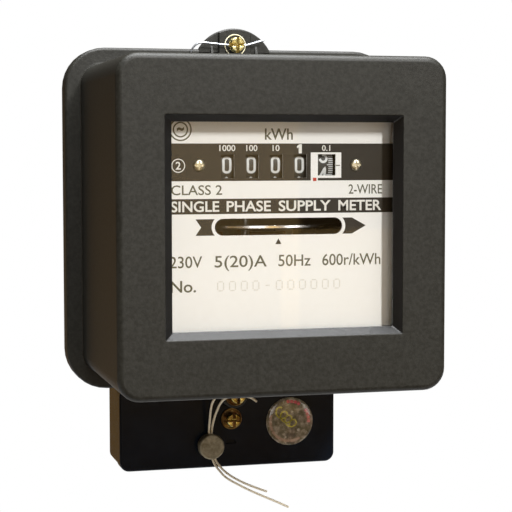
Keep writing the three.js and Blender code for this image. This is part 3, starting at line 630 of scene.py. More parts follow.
def cover_shell():
    """The cover's section, carried round: up the outside, over the face and back inside."""
    inner = CASE_HALF - CASE_WALL
    inner_corner = CASE_CORNER - CASE_WALL
    skirt = FLANGE_HALF - FLANGE_THICK
    skirt_corner = FLANGE_CORNER - FLANGE_THICK
    flange_back = FLANGE_FRONT + FLANGE_THICK
    face_back = FRONT + FACE_THICK
    rim, rear_edge, front_edge, root = mm(1, 0.5, 1.1, 0.9)
    lip, border = mm(0.35, 6)
    throat_x = OPENING_X - OPENING_BEVEL - THROAT_SHIFT
    throat_z = OPENING_Z - OPENING_BEVEL
    loops = [square(skirt, skirt_corner, FLANGE_REAR)]
    loops += reversed(fillet(FLANGE_HALF, FLANGE_CORNER, FLANGE_REAR - rim, FLANGE_REAR, rear_edge, 2))
    loops += fillet(FLANGE_HALF, FLANGE_CORNER, FLANGE_REAR, FLANGE_FRONT, front_edge)
    for out, forward in ((root, 0), (0.25 * MM, 0.25 * MM), (0, root)):
        loops.append(square(CASE_HALF + out, CASE_CORNER + out, FLANGE_FRONT - forward))
    loops.append(square(CASE_HALF, CASE_CORNER, (FLANGE_FRONT + FRONT) / 2))
    loops += fillet(CASE_HALF, CASE_CORNER, FLANGE_FRONT, FRONT, FACE_FILLET, 8)
    opening = (
        (border, 1.4 * MM, 0),
        (lip, 0.75 * MM, 0),
        (lip * 0.3, 0.6 * MM, lip * 0.3),
        (0, 0.5 * MM, lip),
    )
    for out, corner, back in opening:
        loops.append(outline(OPENING_X + out, OPENING_Z + out, corner, FRONT + back))
    for y in (face_back - 0.5 * MM, face_back):
        loops.append(outline(throat_x, throat_z, 0.4 * MM, y, THROAT_SHIFT))
    loops += [
        square(inner, inner_corner, face_back),
        square(inner, inner_corner, flange_back),
        square(skirt, skirt_corner, flange_back),
    ]
    return skinned(loops, close=True)


def half_round(radius, z, y, start, turn, steps):
    """Points on a circle about the line of the fixings, from start on through turn."""
    points = []
    for step in range(steps + 1):
        angle = start + turn * step / steps
        points.append(Vector((FIXING_X + radius * math.cos(angle), y, z + radius * math.sin(angle))))
    return points


def ear_outline(inset, y):
    """The half-disc of the upper ear, with its foot hidden inside the flange."""
    foot = FLANGE_HALF - 4 * MM
    rise = math.asin((foot - UPPER_EAR_Z) / UPPER_EAR_RADIUS)
    return half_round(UPPER_EAR_RADIUS - inset, UPPER_EAR_Z, y, rise, math.pi - 2 * rise, 40)


def tab_outline(inset, y):
    """The small tab of the lower screw, which hangs from the flange."""
    radius = LOWER_TAB_RADIUS - inset
    foot = 4 * MM - FLANGE_HALF
    left, right = (Vector((FIXING_X + side * radius, y, foot)) for side in (-1, 1))
    return [left, *half_round(radius, LOWER_TAB_Z, y, math.pi, math.pi, 24), right]


def rounded_plate(bm, shape, y_front, y_rear, edge):
    """A plate whose outline is shape(inset, y), with a rounded front and rear edge."""
    loops = []
    for step in range(4):
        angle = math.radians(30 * step)
        loops.append(shape(edge * (1 - math.sin(angle)), y_front + edge * (1 - math.cos(angle))))
    loops += [shape(0, y_rear - edge * 0.5), shape(edge * 0.5, y_rear)]
    loft(bm, loops)


def ear_details(bm):
    """The raised middle of the upper ear, and the gussets beside the screw."""
    steps = 20
    left, right = FIXING_X - 6.1 * MM, FIXING_X + 6.1 * MM
    radius = UPPER_EAR_RADIUS - 0.25 * MM
    sunk, rise, edge = mm(0.4, 1.1, 0.3)
    foot = CASE_HALF - 1 * MM
    rims = []
    for lift, inset in ((-sunk, 0.0), (rise - edge, 0.0), (rise, edge)):
        y = FLANGE_FRONT - lift
        loop = []
        for step in range(steps + 1):
            x = right - inset + (left + 2 * inset - right) * step / steps
            z = UPPER_EAR_Z + math.sqrt((radius - inset) ** 2 - (x - FIXING_X) ** 2)
            loop.append(Vector((x, y, z)))
        loop += [Vector((left + inset, y, foot)), Vector((right - inset, y, foot))]
        rims.append(loop)
    loft(bm, rims)
    for offset in mm(-8.6, 8.2):
        gusset(bm, FIXING_X + offset)


def gusset(bm, x):
    """A thin web between the top of the case and the ear."""
    half, rise, reach = mm(0.4, 8, 3)
    top = CASE_HALF - 0.2 * MM
    y = FLANGE_FRONT + 0.2 * MM
    corners = [(y, top), (y - reach, top), (y, top + rise)]
    loops = [[Vector((x + side * half, py, pz)) for py, pz in corners] for side in (-1, 1)]
    loft(bm, loops)


def front_cover():
    bm = cover_shell()
    flange_back = FLANGE_FRONT + FLANGE_THICK
    rounded_plate(bm, ear_outline, FLANGE_FRONT, flange_back, 0.5 * MM)
    rounded_plate(bm, tab_outline, FLANGE_FRONT, flange_back, 0.5 * MM)
    ear_details(bm)
    cover = add_piece(bm, "case_cover", COVER, replaces=("front_cover",), sharp=28)
    # The faces round the window opening take the glossier plastic, whose darker colour is painted shade.
    cover.data.materials.append(GLOSSY_SHADED_BEVEL)
    margin = 0.05 * MM
    for face in cover.data.polygons:
        x, y, z = face.center
        inside = abs(x) < OPENING_X - margin and abs(z) < OPENING_Z - margin
        if inside and FRONT + 0.2 * MM < y < FRONT + FACE_THICK + 0.1 * MM:
            face.material_index = 1


# ------------------------------------------------------------------ softened CAD shapes
def softened(node, name, material, width, segments=2):
    """A CAD node's own shape with its flat faces joined up and its edges rounded."""
    bm = bmesh.new()
    bm.from_mesh(frame["nodes"][node].data)
    bmesh.ops.remove_doubles(bm, verts=bm.verts, dist=1e-6)
    bmesh.ops.dissolve_limit(
        bm, angle_limit=math.radians(2), verts=bm.verts, edges=bm.edges, delimit=set()
    )
    body = next(b for b, nodes in frame["record"]["behaviour"]["bodies"].items() if node in nodes)
    piece = add_piece(bm, name, material, body, (node,))
    return soften(piece, width, segments)


def base_and_terminals():
    softened("base", "base_tray", BASE, 0.6 * MM, 3)
    softened("terminal_block", "terminal_base", BLOCK, 0.4 * MM)


# ------------------------------------------------------------------ nameplate printing
UNIT_DRUMS = ("1000", "100", "10", "1")
PRINT = 0.04 * MM
BAND_X = mm(-41.6, 41.6)
REGISTER_BAND_Z = mm(14.8, 27.1)
TITLE_BAND_Z = mm(3.95, 8.95)
DIGIT_WINDOW_X = 4.5 * MM
DIGIT_WINDOW_Z = mm(15.75, 23.45)
TENTHS_WINDOW_X = mm(13.7, 19.9)
TENTHS_WINDOW_Z = mm(16.45, 23.55)
SLOT_X = mm(-21.7, 22.3)
SLOT_Z = mm(-3.2, 2.4)
RING_MARK_X, RING_MARK_Z = mm(-33.1, 31.6)


def text_mesh(text, weight):
    """The text as a closed mesh in its own X and Y, one unit thick. Weight makes it bolder."""
    curve = bpy.data.curves.new("text", "FONT")
    curve.body = text
    curve.offset = weight
    curve.resolution_u = 4
    curve.extrude = 0.5
    lettering = bpy.data.objects.new("text", curve)
    bpy.context.scene.collection.objects.link(lettering)
    bpy.context.view_layer.update()
    mesh = bpy.data.meshes.new_from_object(evaluated(lettering))
    bpy.data.objects.remove(lettering)
    return mesh


def spread(mesh, axis):
    values = [v.co[axis] for v in mesh.vertices]
    return min(values), max(values)


CAPITAL_HEIGHT = spread(text_mesh("H", 0), 1)[1]


def print_text(bm, text, x, base, height, front, weight=0.012):
    """Text from x[0] to x[1] above base, with capitals of that height, all in millimetres."""
    mesh = text_mesh(text, weight)
    left, right = spread(mesh, 0)
    start, end, foot = mm(*x, base)
    wide = (end - start) / (right - left)
    tall = height * MM / CAPITAL_HEIGHT
    for v in mesh.vertices:
        across, up, out = v.co
        v.co = (start + (across - left) * wide, front - (out + 0.5) * PRINT, foot + up * tall)
    bm.from_mesh(mesh)


def flat_shape(bm, points, front):
    """A closed outline in X and Z, printed one layer thick."""
    loops = [[Vector((x, y, z)) for x, z in points] for y in (front - PRINT, front)]
    loft(bm, loops)


def flat_box(bm, x, z, front=PLATE_FRONT):
    flat_shape(bm, [(x[0], z[0]), (x[1], z[0]), (x[1], z[1]), (x[0], z[1])], front)


def flat_dot(bm, x, z, radius, front, count):
    flat_shape(bm, [(p.x, p.z) for p in hoop((x, 0, z), radius, 1, count)], front)


def flat_ring(bm, cx, cz, outer, inner, front, count=40):
    """A printed ring, as a closed loft round its section."""
    section = ((outer, front), (outer, front - PRINT), (inner, front - PRINT), (inner, front))
    loft(bm, [hoop((cx, y, cz), radius, 1, count) for radius, y in section], close=True)


def arc(cx, cz, rx, rz, start, end, steps):
    """Points along part of an ellipse, from start to end in degrees."""
    angles = [math.radians(start + (end - start) * i / steps) for i in range(steps + 1)]
    return [(cx + rx * math.cos(a), cz + rz * math.sin(a)) for a in angles]


def window_places():
    """The (left, right) and (bottom, top) of every opening of the register band."""
    places = []
    # Each drum's carry wheel stands out to its right, so its digits aren't in its middle.
    digits_from_left = 3.15 * MM
    for name in UNIT_DRUMS:
        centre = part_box("number_drum_" + name)[0].x + digits_from_left
        x = (centre - DIGIT_WINDOW_X / 2, centre + DIGIT_WINDOW_X / 2)
        places.append((x, DIGIT_WINDOW_Z))
    places.append((TENTHS_WINDOW_X, TENTHS_WINDOW_Z))
    return places


def plate_bands():
    """The two dark bands, and the arrow that shows which way the disc turns."""
    bm = bmesh.new()
    flat_box(bm, BAND_X, REGISTER_BAND_Z)
    register = add_piece(bm, "register_band", INK_DARK)
    tenths_surround = (mm(11.2, 21.9), mm(15.65, 24.15))
    decimal_column = (mm(11.2, 13.7), mm(14, 15.65))
    deep = (PLATE_FRONT - MM, PLATE_FRONT + MM)
    places = [*window_places(), tenths_surround, decimal_column]
    carve(register, *(block(x, deep, z) for x, z in places))

    bm = bmesh.new()
    flat_box(bm, BAND_X, TITLE_BAND_Z)
    arrow(bm, PLATE_FRONT)
    add_piece(bm, "plate_print_dark", INK_DARK)


def arrow(bm, front):
    """A notched tail to the left of the slot, a head to its right, and the pointer below."""
    middle_z = sum(SLOT_Z) / 2
    slot_half = (SLOT_Z[1] - SLOT_Z[0]) / 2
    gap, half = mm(1.1, 2.7)
    ring = slot_half + gap
    bend = math.degrees(math.asin(half / ring))
    tail_end, notch, barb, tip = mm(-28.2, -26.3, 25.7, 30.6)
    tail = arc(SLOT_X[0] + slot_half, middle_z, ring, ring, 180 + bend, 180 - bend, 10)
    tail += [(tail_end, middle_z + half), (notch, middle_z), (tail_end, middle_z - half)]
    head = arc(SLOT_X[1] - slot_half, middle_z, ring, ring, bend, -bend, 10)
    head += [(barb, middle_z - half), (tip, middle_z), (barb, middle_z + half)]
    pointer = [mm(-1.05, -6.25), mm(1.05, -6.25), mm(0, -4.35)]
    for shape in (tail, head, pointer):
        flat_shape(bm, shape, front)


def ratings_print():
    """Generic ratings in olive ink on the pale plate."""
    bm = bmesh.new()
    front = PLATE_FRONT
    # text, left and right end, base, height of the capitals, weight
    lines = (
        ("230V", (-36.9, -26), -13.6, 3.7, 0.006),
        ("5(20)A", (-21.8, -4), -13.6, 3.7, 0.006),
        ("50Hz", (0, 11.2), -13.6, 3.7, 0.006),
        ("600r/kWh", (15.3, 35.9), -13.6, 3.7, 0.006),
        ("No.", (-36.6, -28.1), -21.6, 3.7, 0.012),
        ("kWh", (-4.6, 5), 28.4, 3.6, 0.012),
        ("CLASS 2", (-36.3, -19.2), 10.3, 3.1, 0.006),
        ("2-WIRE", (24.5, 36.4), 10.3, 3.1, 0.006),
        ("~", (-34.3, -31.9), 30.6, 3, 0.05),
    )
    for text, x, base, height, weight in lines:
        print_text(bm, text, x, base, height, front, weight)
    for outer, inner in (mm(3.75, 3.3), mm(2.55, 2.1)):
        flat_ring(bm, RING_MARK_X, RING_MARK_Z, outer, inner, front)
    tenths_index = (mm(20, 21.4), mm(19.65, 19.95))
    flat_box(bm, *tenths_index)
    add_piece(bm, "plate_ratings", INK_OLIVE)


def white_lettering():
    """White ink over the dark bands."""
    bm = bmesh.new()
    front = PLATE_FRONT - PRINT
    title = (
        ("SINGLE", (-36.4, -20.2)),
        ("PHASE", (-17.7, -2.6)),
        ("SUPPLY", (0.1, 18.2)),
        ("METER", (20.9, 36.1)),
    )
    for word, x in title:
        print_text(bm, word, x, 4.8, 3.3, front, 0.02)
    weights = (
        ("1000", (-20.1, -14.7), 24.65, 1.9),
        ("100", (-11, -7.2), 24.65, 1.9),
        ("10", (-2, 0.4), 24.65, 1.9),
        ("0.1", (15.1, 18), 24.7, 1.8),
    )
    for text, x, base, height in weights:
        print_text(bm, text, x, base, height, front)
    # The 1 over the units is larger than the others, and drawn as a plain shape.
    one = [(8.1, 23.8), (8.1, 26.9), (7.3, 26.9), (6.4, 26.2), (6.4, 25.5), (7, 25.8), (7, 23.8)]
    flat_shape(bm, [mm(x, z) for x, z in reversed(one)], front)
    flat_ring(bm, *mm(-33.9, 19.85, 2.3, 1.98), front)
    print_text(bm, "2", (-34.75, -33.05), 18.65, 2.4, front, 0.02)
    add_piece(bm, "plate_print_white", INK_WHITE)


def dotted_number():
    """A row of dot-matrix zeros where a maker would stamp the meter's own number."""
    bm = bmesh.new()
    left, base, pitch, dot, step = mm(-20.8, -21.4, 4.02, 0.21, 0.5)
    zero = [(column, row) for column in (0, 4) for row in range(1, 6)]
    zero += [(column, row) for row in (0, 6) for column in (1, 2, 3)]
    dash = [(column, 3) for column in (1, 2, 3)]
    for place, symbol in enumerate("0000-000000"):
        for column, row in zero if symbol == "0" else dash:
            x = left + place * pitch + column * step
            flat_dot(bm, x, base + row * step, dot, PLATE_FRONT, 10)
    add_piece(bm, "plate_number_dots", INK_PALE)


def decimal_mark():
    bm = bmesh.new()
    flat_box(bm, mm(12, 13.2), mm(14.6, 15.7))
    add_piece(bm, "plate_decimal_mark", INK_RED)


def domed_screw(name, node):
    """A small domed screw with a cross recess."""
    place = middle(node)
    radius, rim, rise, foot = mm(1.98, 0.08, 0.7, 1.5)
    base_y = PLATE_FRONT - 0.3 * MM
    profile = [(radius * 0.4, foot), (radius * 0.6, 0), (radius * 0.97, 0), (radius, -rim)]
    for angle in (0.3, 0.6, 0.9, 1.2, 1.4):
        profile.append((radius * math.cos(angle), -rim - rise * math.sin(angle)))
    profile.append((0, -0.79 * MM))
    bm = turned(profile, place.x, base_y, place.z, 40)
    piece = add_piece(bm, name, NICKEL, replaces=(node,))
    reach, half = mm(1.5, 0.3)
    carve(piece, *driver_cross(place, (base_y - 1.2 * MM, base_y - 0.35 * MM), reach, half))
    soften(piece, 0.06 * MM)


def nameplate():
    plate_bands()
    ratings_print()
    white_lettering()
    dotted_number()
    decimal_mark()
    domed_screw("plate_screw_left", "nameplate_screw_left")
    domed_screw("plate_screw_right", "nameplate_screw_right")


# ------------------------------------------------------------------ digit drums
BAND_LIFT = 0.06 * MM
DIGIT_LIFT = 0.05 * MM
DIGIT_TURN = math.radians(36)
TENTHS_SHOWN = 3.5


def digit_strokes(digit):
    """The centre lines of one digit, in metres about its own middle. True means a closed loop."""
    a = (DIGIT_WIDTH - DIGIT_STROKE) / 2
    b = (DIGIT_HEIGHT - DIGIT_STROKE) / 2
    r = 0.85 * a
    top = arc(r - a, b - r, r, r, 180, 90, 6) + arc(a - r, b - r, r, r, 90, 0, 6)
    bottom = arc(a - r, r - b, r, r, 0, -90, 6) + arc(r - a, r - b, r, r, -90, -180, 6)
    half = b / 2
    if digit == 0:
        return [(top + bottom, True)]
    if digit == 1:
        return [([(-a * 0.6, b * 0.62), (0.1 * a, b)], False), ([(0.1 * a, b), (0.1 * a, -b)], False)]
    if digit == 2:
        return [(top + [(a, half * 0.9), (-a, -b)], False), ([(-a, -b), (a, -b)], False)]
    if digit == 3:
        upper = arc(0, half, a, half, 160, -90, 16)
        lower = arc(0, -half, a, half, 90, -160, 16)
        return [(upper, False), (lower, False)]
    if digit == 4:
        return [([(a * 0.5, -b), (a * 0.5, b), (-a, -b * 0.45), (a, -b * 0.45)], False)]
    if digit == 5:
        bowl = arc(0, -b + 1.25 * a, a, 1.25 * a, 120, -150, 16)
        return [([(a, b), (-a * 0.8, b), (-a * 0.9, 0)], False), (bowl, False)]
    if digit == 6:
        bowl = arc(0, -b + 1.2 * a, a, 1.2 * a, 0, 360, 24)[:-1]
        return [(bowl, True), ([(-a, -b + 1.2 * a), (-a, b - r)] + arc(0, b - r, a, r, 180, 40, 9), False)]
    if digit == 7:
        return [([(-a, b), (a, b), (-a * 0.3, -b)], False)]
    if digit == 8:
        upper = arc(0, half, a * 0.92, half, 0, 360, 24)[:-1]
        lower = arc(0, -half, a, half, 0, 360, 24)[:-1]
        return [(upper, True), (lower, True)]
    turned_six = digit_strokes(6)
    return [([(-x, -z) for x, z in points], closed) for points, closed in turned_six]


def even_steps(points, closed, step):
    """The same line with a point at least every step."""
    ends = points[1:] + points[:1] if closed else points[1:]
    dense = []
    for (x0, z0), (x1, z1) in zip(points, ends):
        count = max(1, math.ceil(math.hypot(x1 - x0, z1 - z0) / step))
        dense += [(x0 + (x1 - x0) * i / count, z0 + (z1 - z0) * i / count) for i in range(count)]
    return dense if closed else dense + [points[-1]]


def ribbon(bm, points, closed, width, place):
    """A thin closed strip along the points. place(x, z, lift) puts a point on the drum."""
    points = even_steps(points, closed, 0.4 * MM)
    count = len(points)
    sunk = -0.02 * MM
    rows = []
    for i in range(count):
        before = points[i - 1] if closed or i else points[i]
        after = points[(i + 1) % count] if closed or i < count - 1 else points[i]
        along = Vector((after[0] - before[0], after[1] - before[1])).normalized()
        side = Vector((-along.y, along.x)) * width / 2
        here = Vector(points[i])
        if not closed and i in (0, count - 1):
            here += along * (width / 2 if i else -width / 2) * 0.6
        one, two = here + side, here - side
        section = ((one, sunk), (one, DIGIT_LIFT), (two, DIGIT_LIFT), (two, sunk))
        rows.append([place(*point, lift) for point, lift in section])
    loft(bm, rows, closed)


def drum_band(name, left, width):
    """A smooth printed sleeve on the drum, with a fine edge on both sides."""
    radius = DRUM_RADIUS + BAND_LIFT
    inner = DRUM_RADIUS - 0.25 * MM
    edge = 0.12 * MM
    profile = [(inner, 0), (radius - edge, 0), (radius, edge), (radius, width - edge)]
    profile += [(radius - edge, width), (inner, width)]
    loops = [hoop((left + along, REGISTER_Y, REGISTER_Z), r, 0, 120) for r, along in profile]
    bm = skinned(loops, close=True)
    add_piece(bm, "drum_band_" + name, DRUM, "drum_" + name)


def on_drum(x, turn):
    """Puts flat points (across, up) on the drum's front, turned up by that angle."""
    radius = DRUM_RADIUS + BAND_LIFT

    def place(across, up, lift):
        angle = turn + up / radius
        r = radius + lift
        return Vector((x + across, REGISTER_Y - r * math.cos(angle), REGISTER_Z + r * math.sin(angle)))

    return place


def drum_digits(x, shown):
    """Ten digits round one drum. `shown` is the reading that faces the window."""
    bm = bmesh.new()
    for digit in range(10):
        turn = DIGIT_TURN * (shown - digit)
        for points, closed in digit_strokes(digit):
            ribbon(bm, points, closed, DIGIT_STROKE, on_drum(x, turn))
    return bm


def tenths_ticks(bm, x, shown):
    """A hundred fine lines round the right of the tenths drum, longer at each whole and half."""
    for tick in range(100):
        turn = DIGIT_TURN * (shown - tick / 10)
        reach = 1.35 * MM if tick % 10 else 2 * MM
        if tick % 10 == 5:
            reach = 1.9 * MM
        ribbon(bm, [(-reach, 0), (0, 0)], False, 0.26 * MM, on_drum(x, turn))


def drums():
    """The sleeves and digits of the five drums, which read 0000 and between 3 and 4 tenths."""
    for name in UNIT_DRUMS:
        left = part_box("number_drum_" + name)[0].x
        drum_band(name, left, 5.9 * MM)
        bm = drum_digits(left + 3.3 * MM, 0)
        add_piece(bm, "drum_digits_" + name, DIGIT_WHITE, "drum_" + name)
    low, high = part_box("number_drum_tenths")
    drum_band("tenths", low.x, high.x - low.x)
    bm = drum_digits(low.x + 3.4 * MM, TENTHS_SHOWN)
    tenths_ticks(bm, low.x + 6.65 * MM, TENTHS_SHOWN)
    add_piece(bm, "drum_digits_tenths", DIGIT_WHITE, "drum_tenths")


# ------------------------------------------------------------------ rotor disc
def rotor_disc():
    """The aluminium disc, with a finely rounded rim and a bore for the spindle."""
    centre = middle("rotor_disc")
    radius, _, half = half_size("rotor_disc")
    edge, bore = mm(0.25, 2)
    flat = radius - edge
    profile = [(bore, -half), (flat, -half)]
    profile += [(flat + edge * math.sin(a), -half + edge * (1 - math.cos(a))) for a in (0.5, 1.05)]
    profile += [(radius, edge - half), (radius, half - edge)]
    profile += [(flat + edge * math.cos(a), half - edge + edge * math.sin(a)) for a in (0.5, 1.05)]
    profile += [(flat, half), (bore, half)]
    loops = [hoop(centre + Vector((0, 0, up)), r, 2, 240) for r, up in profile]
    bm = skinned(loops, close=True)
    add_piece(bm, "rotor_plate", DISC, "rotor", ("rotor_disc",))


# ------------------------------------------------------------------ sealing screws
SCREW_SLOT_HALF = 0.62 * MM
SCREW_SLOT_DEPTH = 2 * MM


def sealing_screw(name, node, collar, head, height, wire_hole, looks):
    """A turned brass screw: a dished collar, a necked drum head, a driver cross and a wire hole."""
    place = middle(node)
    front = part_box(node)[0].y
    face = front + height
    dish = [
        (collar - 0.1 * MM, 0),
        (collar, -0.1 * MM),
        (collar, -0.75 * MM),
        (collar - 0.12 * MM, -0.95 * MM),
        (collar - 0.36 * MM, -0.95 * MM),
        (collar - 0.5 * MM, -0.75 * MM),
        (collar - 0.7 * MM, -0.35 * MM),
        (0, -0.3 * MM),
    ]
    bm = turned(dish, place.x, face, place.z, 64)
    add_piece(bm, name + "_collar", looks[1])

    shank, root, neck, shank_length = mm(1.55, 1.6, 1.7, 8)
    under = 0.42 * height
    profile = [(shank, shank_length), (root, 0), (neck, -0.2 * MM), (neck, -under)]
    profile += [(head - 0.15 * MM, -under - 0.1 * MM), (head, -under - 0.3 * MM)]
    profile += [(head, 0.7 * MM - height), (head - 0.15 * MM, 0.3 * MM - height)]
    profile += [(head - 0.5 * MM, -height), (0, -height)]
    bm = turned(profile, place.x, face, place.z, 56)
    piece = add_piece(bm, name, looks[0], replaces=(node,))
    reach = head + MM
    cross = driver_cross(place, (front - MM, front + SCREW_SLOT_DEPTH), reach, SCREW_SLOT_HALF)
    carve(piece, *cross, wire_hole_cutter(wire_hole, place, front + height / 2, reach))
    shade_slots(piece, place, front, head, looks[2])
    soften(piece, 0.16 * MM, 3)


def shade_slots(piece, place, front, head, shade_look):
    """Gives the inside of the driver cross a darker look: painted shade in the recess."""
    piece.data.materials.append(shade_look)
    for face in piece.data.polygons:
        from_axis = math.hypot(face.center.x - place.x, face.center.z - place.z)
        depth = face.center.y - front
        if from_axis < head - 0.2 * MM and 0.5 * MM < depth < SCREW_SLOT_DEPTH + 0.1 * MM:
            face.material_index = 1


def wire_hole_cutter(radius, place, y, reach):
    return skinned([hoop((place.x + side * reach, y, place.z), radius, 0, 24) for side in (-1, 1)])


def sealing_screws():
    # piece, CAD node, radius of collar and head, height, radius of the wire hole, looks
    # The upper screw's brass is painted lit; the two lower screws' brass is painted in shade.
    lit_looks = (LIT_BRASS, HIGHLIT_COLLAR, BRASS)
    shaded_looks = (BRASS, SHADED_BRASS, SHADED_SLOT_BRASS)
    screws = (
        ("seal_screw_top", "cover_screw_top", mm(4.1, 2.85, 5.2, 0.6), lit_looks),
        ("seal_screw_bottom", "cover_screw_bottom", mm(4.1, 2.85, 5.2, 1.1), shaded_looks),
        ("lid_screw", "terminal_cover_screw", mm(4, 2.75, 5, 0.7), shaded_looks),
    )
    for name, node, sizes, looks in screws:
        sealing_screw(name, node, *sizes, looks)


# ------------------------------------------------------------------ terminal cover
LID_LOW, LID_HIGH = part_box("terminal_cover")
LID_CORNER = 3.6 * MM
LID_WALL = 2 * MM


def lid_outline(inset, y):
    place = middle("terminal_cover")
    half_x, _, half_z = half_size("terminal_cover")
    corner = max(LID_CORNER - inset, 0.3 * MM)
    return outline(half_x - inset, half_z - inset, corner, y, 0, place.z)


def terminal_lid():
    """A shallow tray, cut out round the tab of the lower screw, with a recess for the thumb."""
    edge, rear_edge = mm(0.8, 0.15)
    front, rear = LID_LOW.y, LID_HIGH.y
    loops = [
        lid_outline(LID_WALL, front + LID_WALL),
        lid_outline(LID_WALL, rear),
        lid_outline(rear_edge, rear),
        lid_outline(0, rear - rear_edge),
    ]
    for step in range(6):
        angle = math.radians(18 * step)
        loops.append(lid_outline(edge * (1 - math.cos(angle)), front + edge * (1 - math.sin(angle))))
    bm = skinned(loops)
    replaced = ("terminal_cover",)
    piece = add_piece(bm, "terminal_lid", BLOCK, replaces=replaced, sharp=25)
    reach = LOWER_TAB_RADIUS + 0.4 * MM
    deep = (front - MM, rear + MM)
    screw = middle("terminal_cover_screw")
    cutters = [
        rod(reach, FIXING_X, LOWER_TAB_Z, *deep, 48),
        block((FIXING_X - reach, FIXING_X + reach), deep, (LOWER_TAB_Z, LID_HIGH.z + MM)),
        rod(2 * MM, FIXING_X, screw.z, *deep),
        thumb_cutter(),
    ]
    carve(piece, *cutters)
    soften(piece, 0.12 * MM)


def thumb_cutter():
    """The shallow thumb recess under the screw: flat below, arched above."""
    base, half, rise, depth = mm(-86, 1.95, 2.1, 0.9)
    points = arc(FIXING_X, base, half, rise, 180, 0, 16)
    return skinned([[Vector((x, y, z)) for x, z in points] for y in (LID_LOW.y - MM, LID_LOW.y + depth)])


# ------------------------------------------------------------------ seals
SEAL_PLACE = middle("seal_disc")
SEAL_RADIUS = half_size("seal_disc").x
SEAL_HALF = half_size("seal_disc").y
WIRE_RADIUS = 0.42 * MM
TOP_WIRE_RADIUS = 0.35 * MM


# Points on each wire's route in millimetres, from its cut end to the screw.
LEFT_WIRE = (
    (21.6, -31.4, -110.2),
    (16.9, -31.2, -107.9),
    (12.1, -31, -105.7),
    (7.3, -30.7, -103.4),
    (2.6, -30.3, -100.9),
    (-2.4, -29.8, -97.8),
    (-4.6, -29.2, -95.4),
    (-6.1, -28.4, -93.3),
    (-7, -28, -91.2),
    (-7.7, -28, -86),
    (-8.4, -28, -80.8),
    (-8.4, -29.2, -76),
    (-8.3, -30.7, -71.4),
    (-7.9, -32.4, -68.4),
    (-6.5, -34, -66.2),
    (-4, -34.5, -65.6),
    (4, -34.5, -65.7),
    (6.4, -34.5, -65.2),
)
RIGHT_WIRE = (
    (13.3, -30.7, -103.9),
    (9.2, -30.5, -102.3),
    (4.3, -30.2, -100.1),
    (-0.4, -29.8, -97.4),
    (-3, -29.3, -95.3),
    (-4.8, -28.6, -93.2),
    (-6, -28, -91.2),
    (-6.7, -28, -86),
    (-7.4, -28, -80.8),
    (-6.9, -29.2, -76),
    (-5.7, -30.9, -71.4),
    (-4.9, -32.6, -68.9),
    (-3.9, -33.9, -67.4),
    (-2.6, -34.5, -66.7),
    (4, -34.5, -66.7),
    (6.4, -34.6, -67.3),
    (8.3, -34.6, -68.7),
)
# The short bright wire through the upper screw runs from left to right.
UPPER_WIRE = (
    (-16.3, -33.2, 58.8),
    (-15.5, -33.8, 62),
    (-13.2, -34.4, 64),
    (-9, -34.5, 64),
    (-3.5, -34.5, 63.5),
    (4.6, -34.5, 63.5),
    (8, -34.5, 64.4),
    (11.2, -34.5, 65.3),
)


def blend(one, two, start, end, now):
    """The point between one, at time start, and two, at time end."""
    return one * ((end - now) / (end - start)) + two * ((now - start) / (end - start))


def smooth_line(points, steps=6):
    """A centripetal Catmull-Rom line through the points, which are in millimetres."""
    points = [Vector(point) * MM for point in points]
    padded = [points[0] * 2 - points[1], *points, points[-1] * 2 - points[-2]]
    line = []
    for i in range(1, len(padded) - 2):
        p = padded[i - 1 : i + 3]
        t = [0.0]
        for one, two in zip(p, p[1:]):
            t.append(t[-1] + math.sqrt((two - one).length))
        for step in range(steps):
            now = t[1] + (t[2] - t[1]) * step / steps
            a = [blend(p[k], p[k + 1], t[k], t[k + 1], now) for k in range(3)]
            b = [blend(a[k], a[k + 1], t[k], t[k + 2], now) for k in range(2)]
            line.append(blend(*b, t[1], t[2], now))
    line.append(points[-1].copy())
    return line


def tube(line, radius, sides=12, ripple=0.0):
    """A round tube with rounded ends, its section carried along without twist."""
    side = (line[1] - line[0]).orthogonal().normalized()
    last = len(line) - 1
    loops = []
    for i, point in enumerate(line):
        along = (line[min(i + 1, last)] - line[max(i - 1, 0)]).normalized()
        side = (side - along * side.dot(along)).normalized()
        up = along.cross(side)
        thick = radius * (1 + ripple * math.sin(i * 2.4))
        section = [(side * math.cos(a) + up * math.sin(a)) * thick for a in round_angles(sides)]
        rounds = [[point + offset for offset in section]]
        if i in (0, last):
            tip = point + along * radius * (0.35 if i else -0.35)
            rounds.append([tip + offset * 0.6 for offset in section])
        loops += rounds if i else reversed(rounds)
    return skinned(loops)


def seal_wires():
    seal = lead_seal()
    for name, node, points, carried in (
        ("seal_cord_left", "seal_wire_left", LEFT_WIRE, [seal]),
        ("seal_cord_right", "seal_wire_right", RIGHT_WIRE, []),
    ):
        line = smooth_line(points[::-1])
        bm = tube(line, WIRE_RADIUS, ripple=0.02)
        cord = add_piece(bm, name, SHEATH, replaces=(node,), sharp=60)
        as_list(carried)

    bm = tube(smooth_line(UPPER_WIRE), TOP_WIRE_RADIUS)
    add_piece(bm, "seal_wire_top", BRIGHT_WIRE, replaces=("upper_seal_wire",), sharp=60)


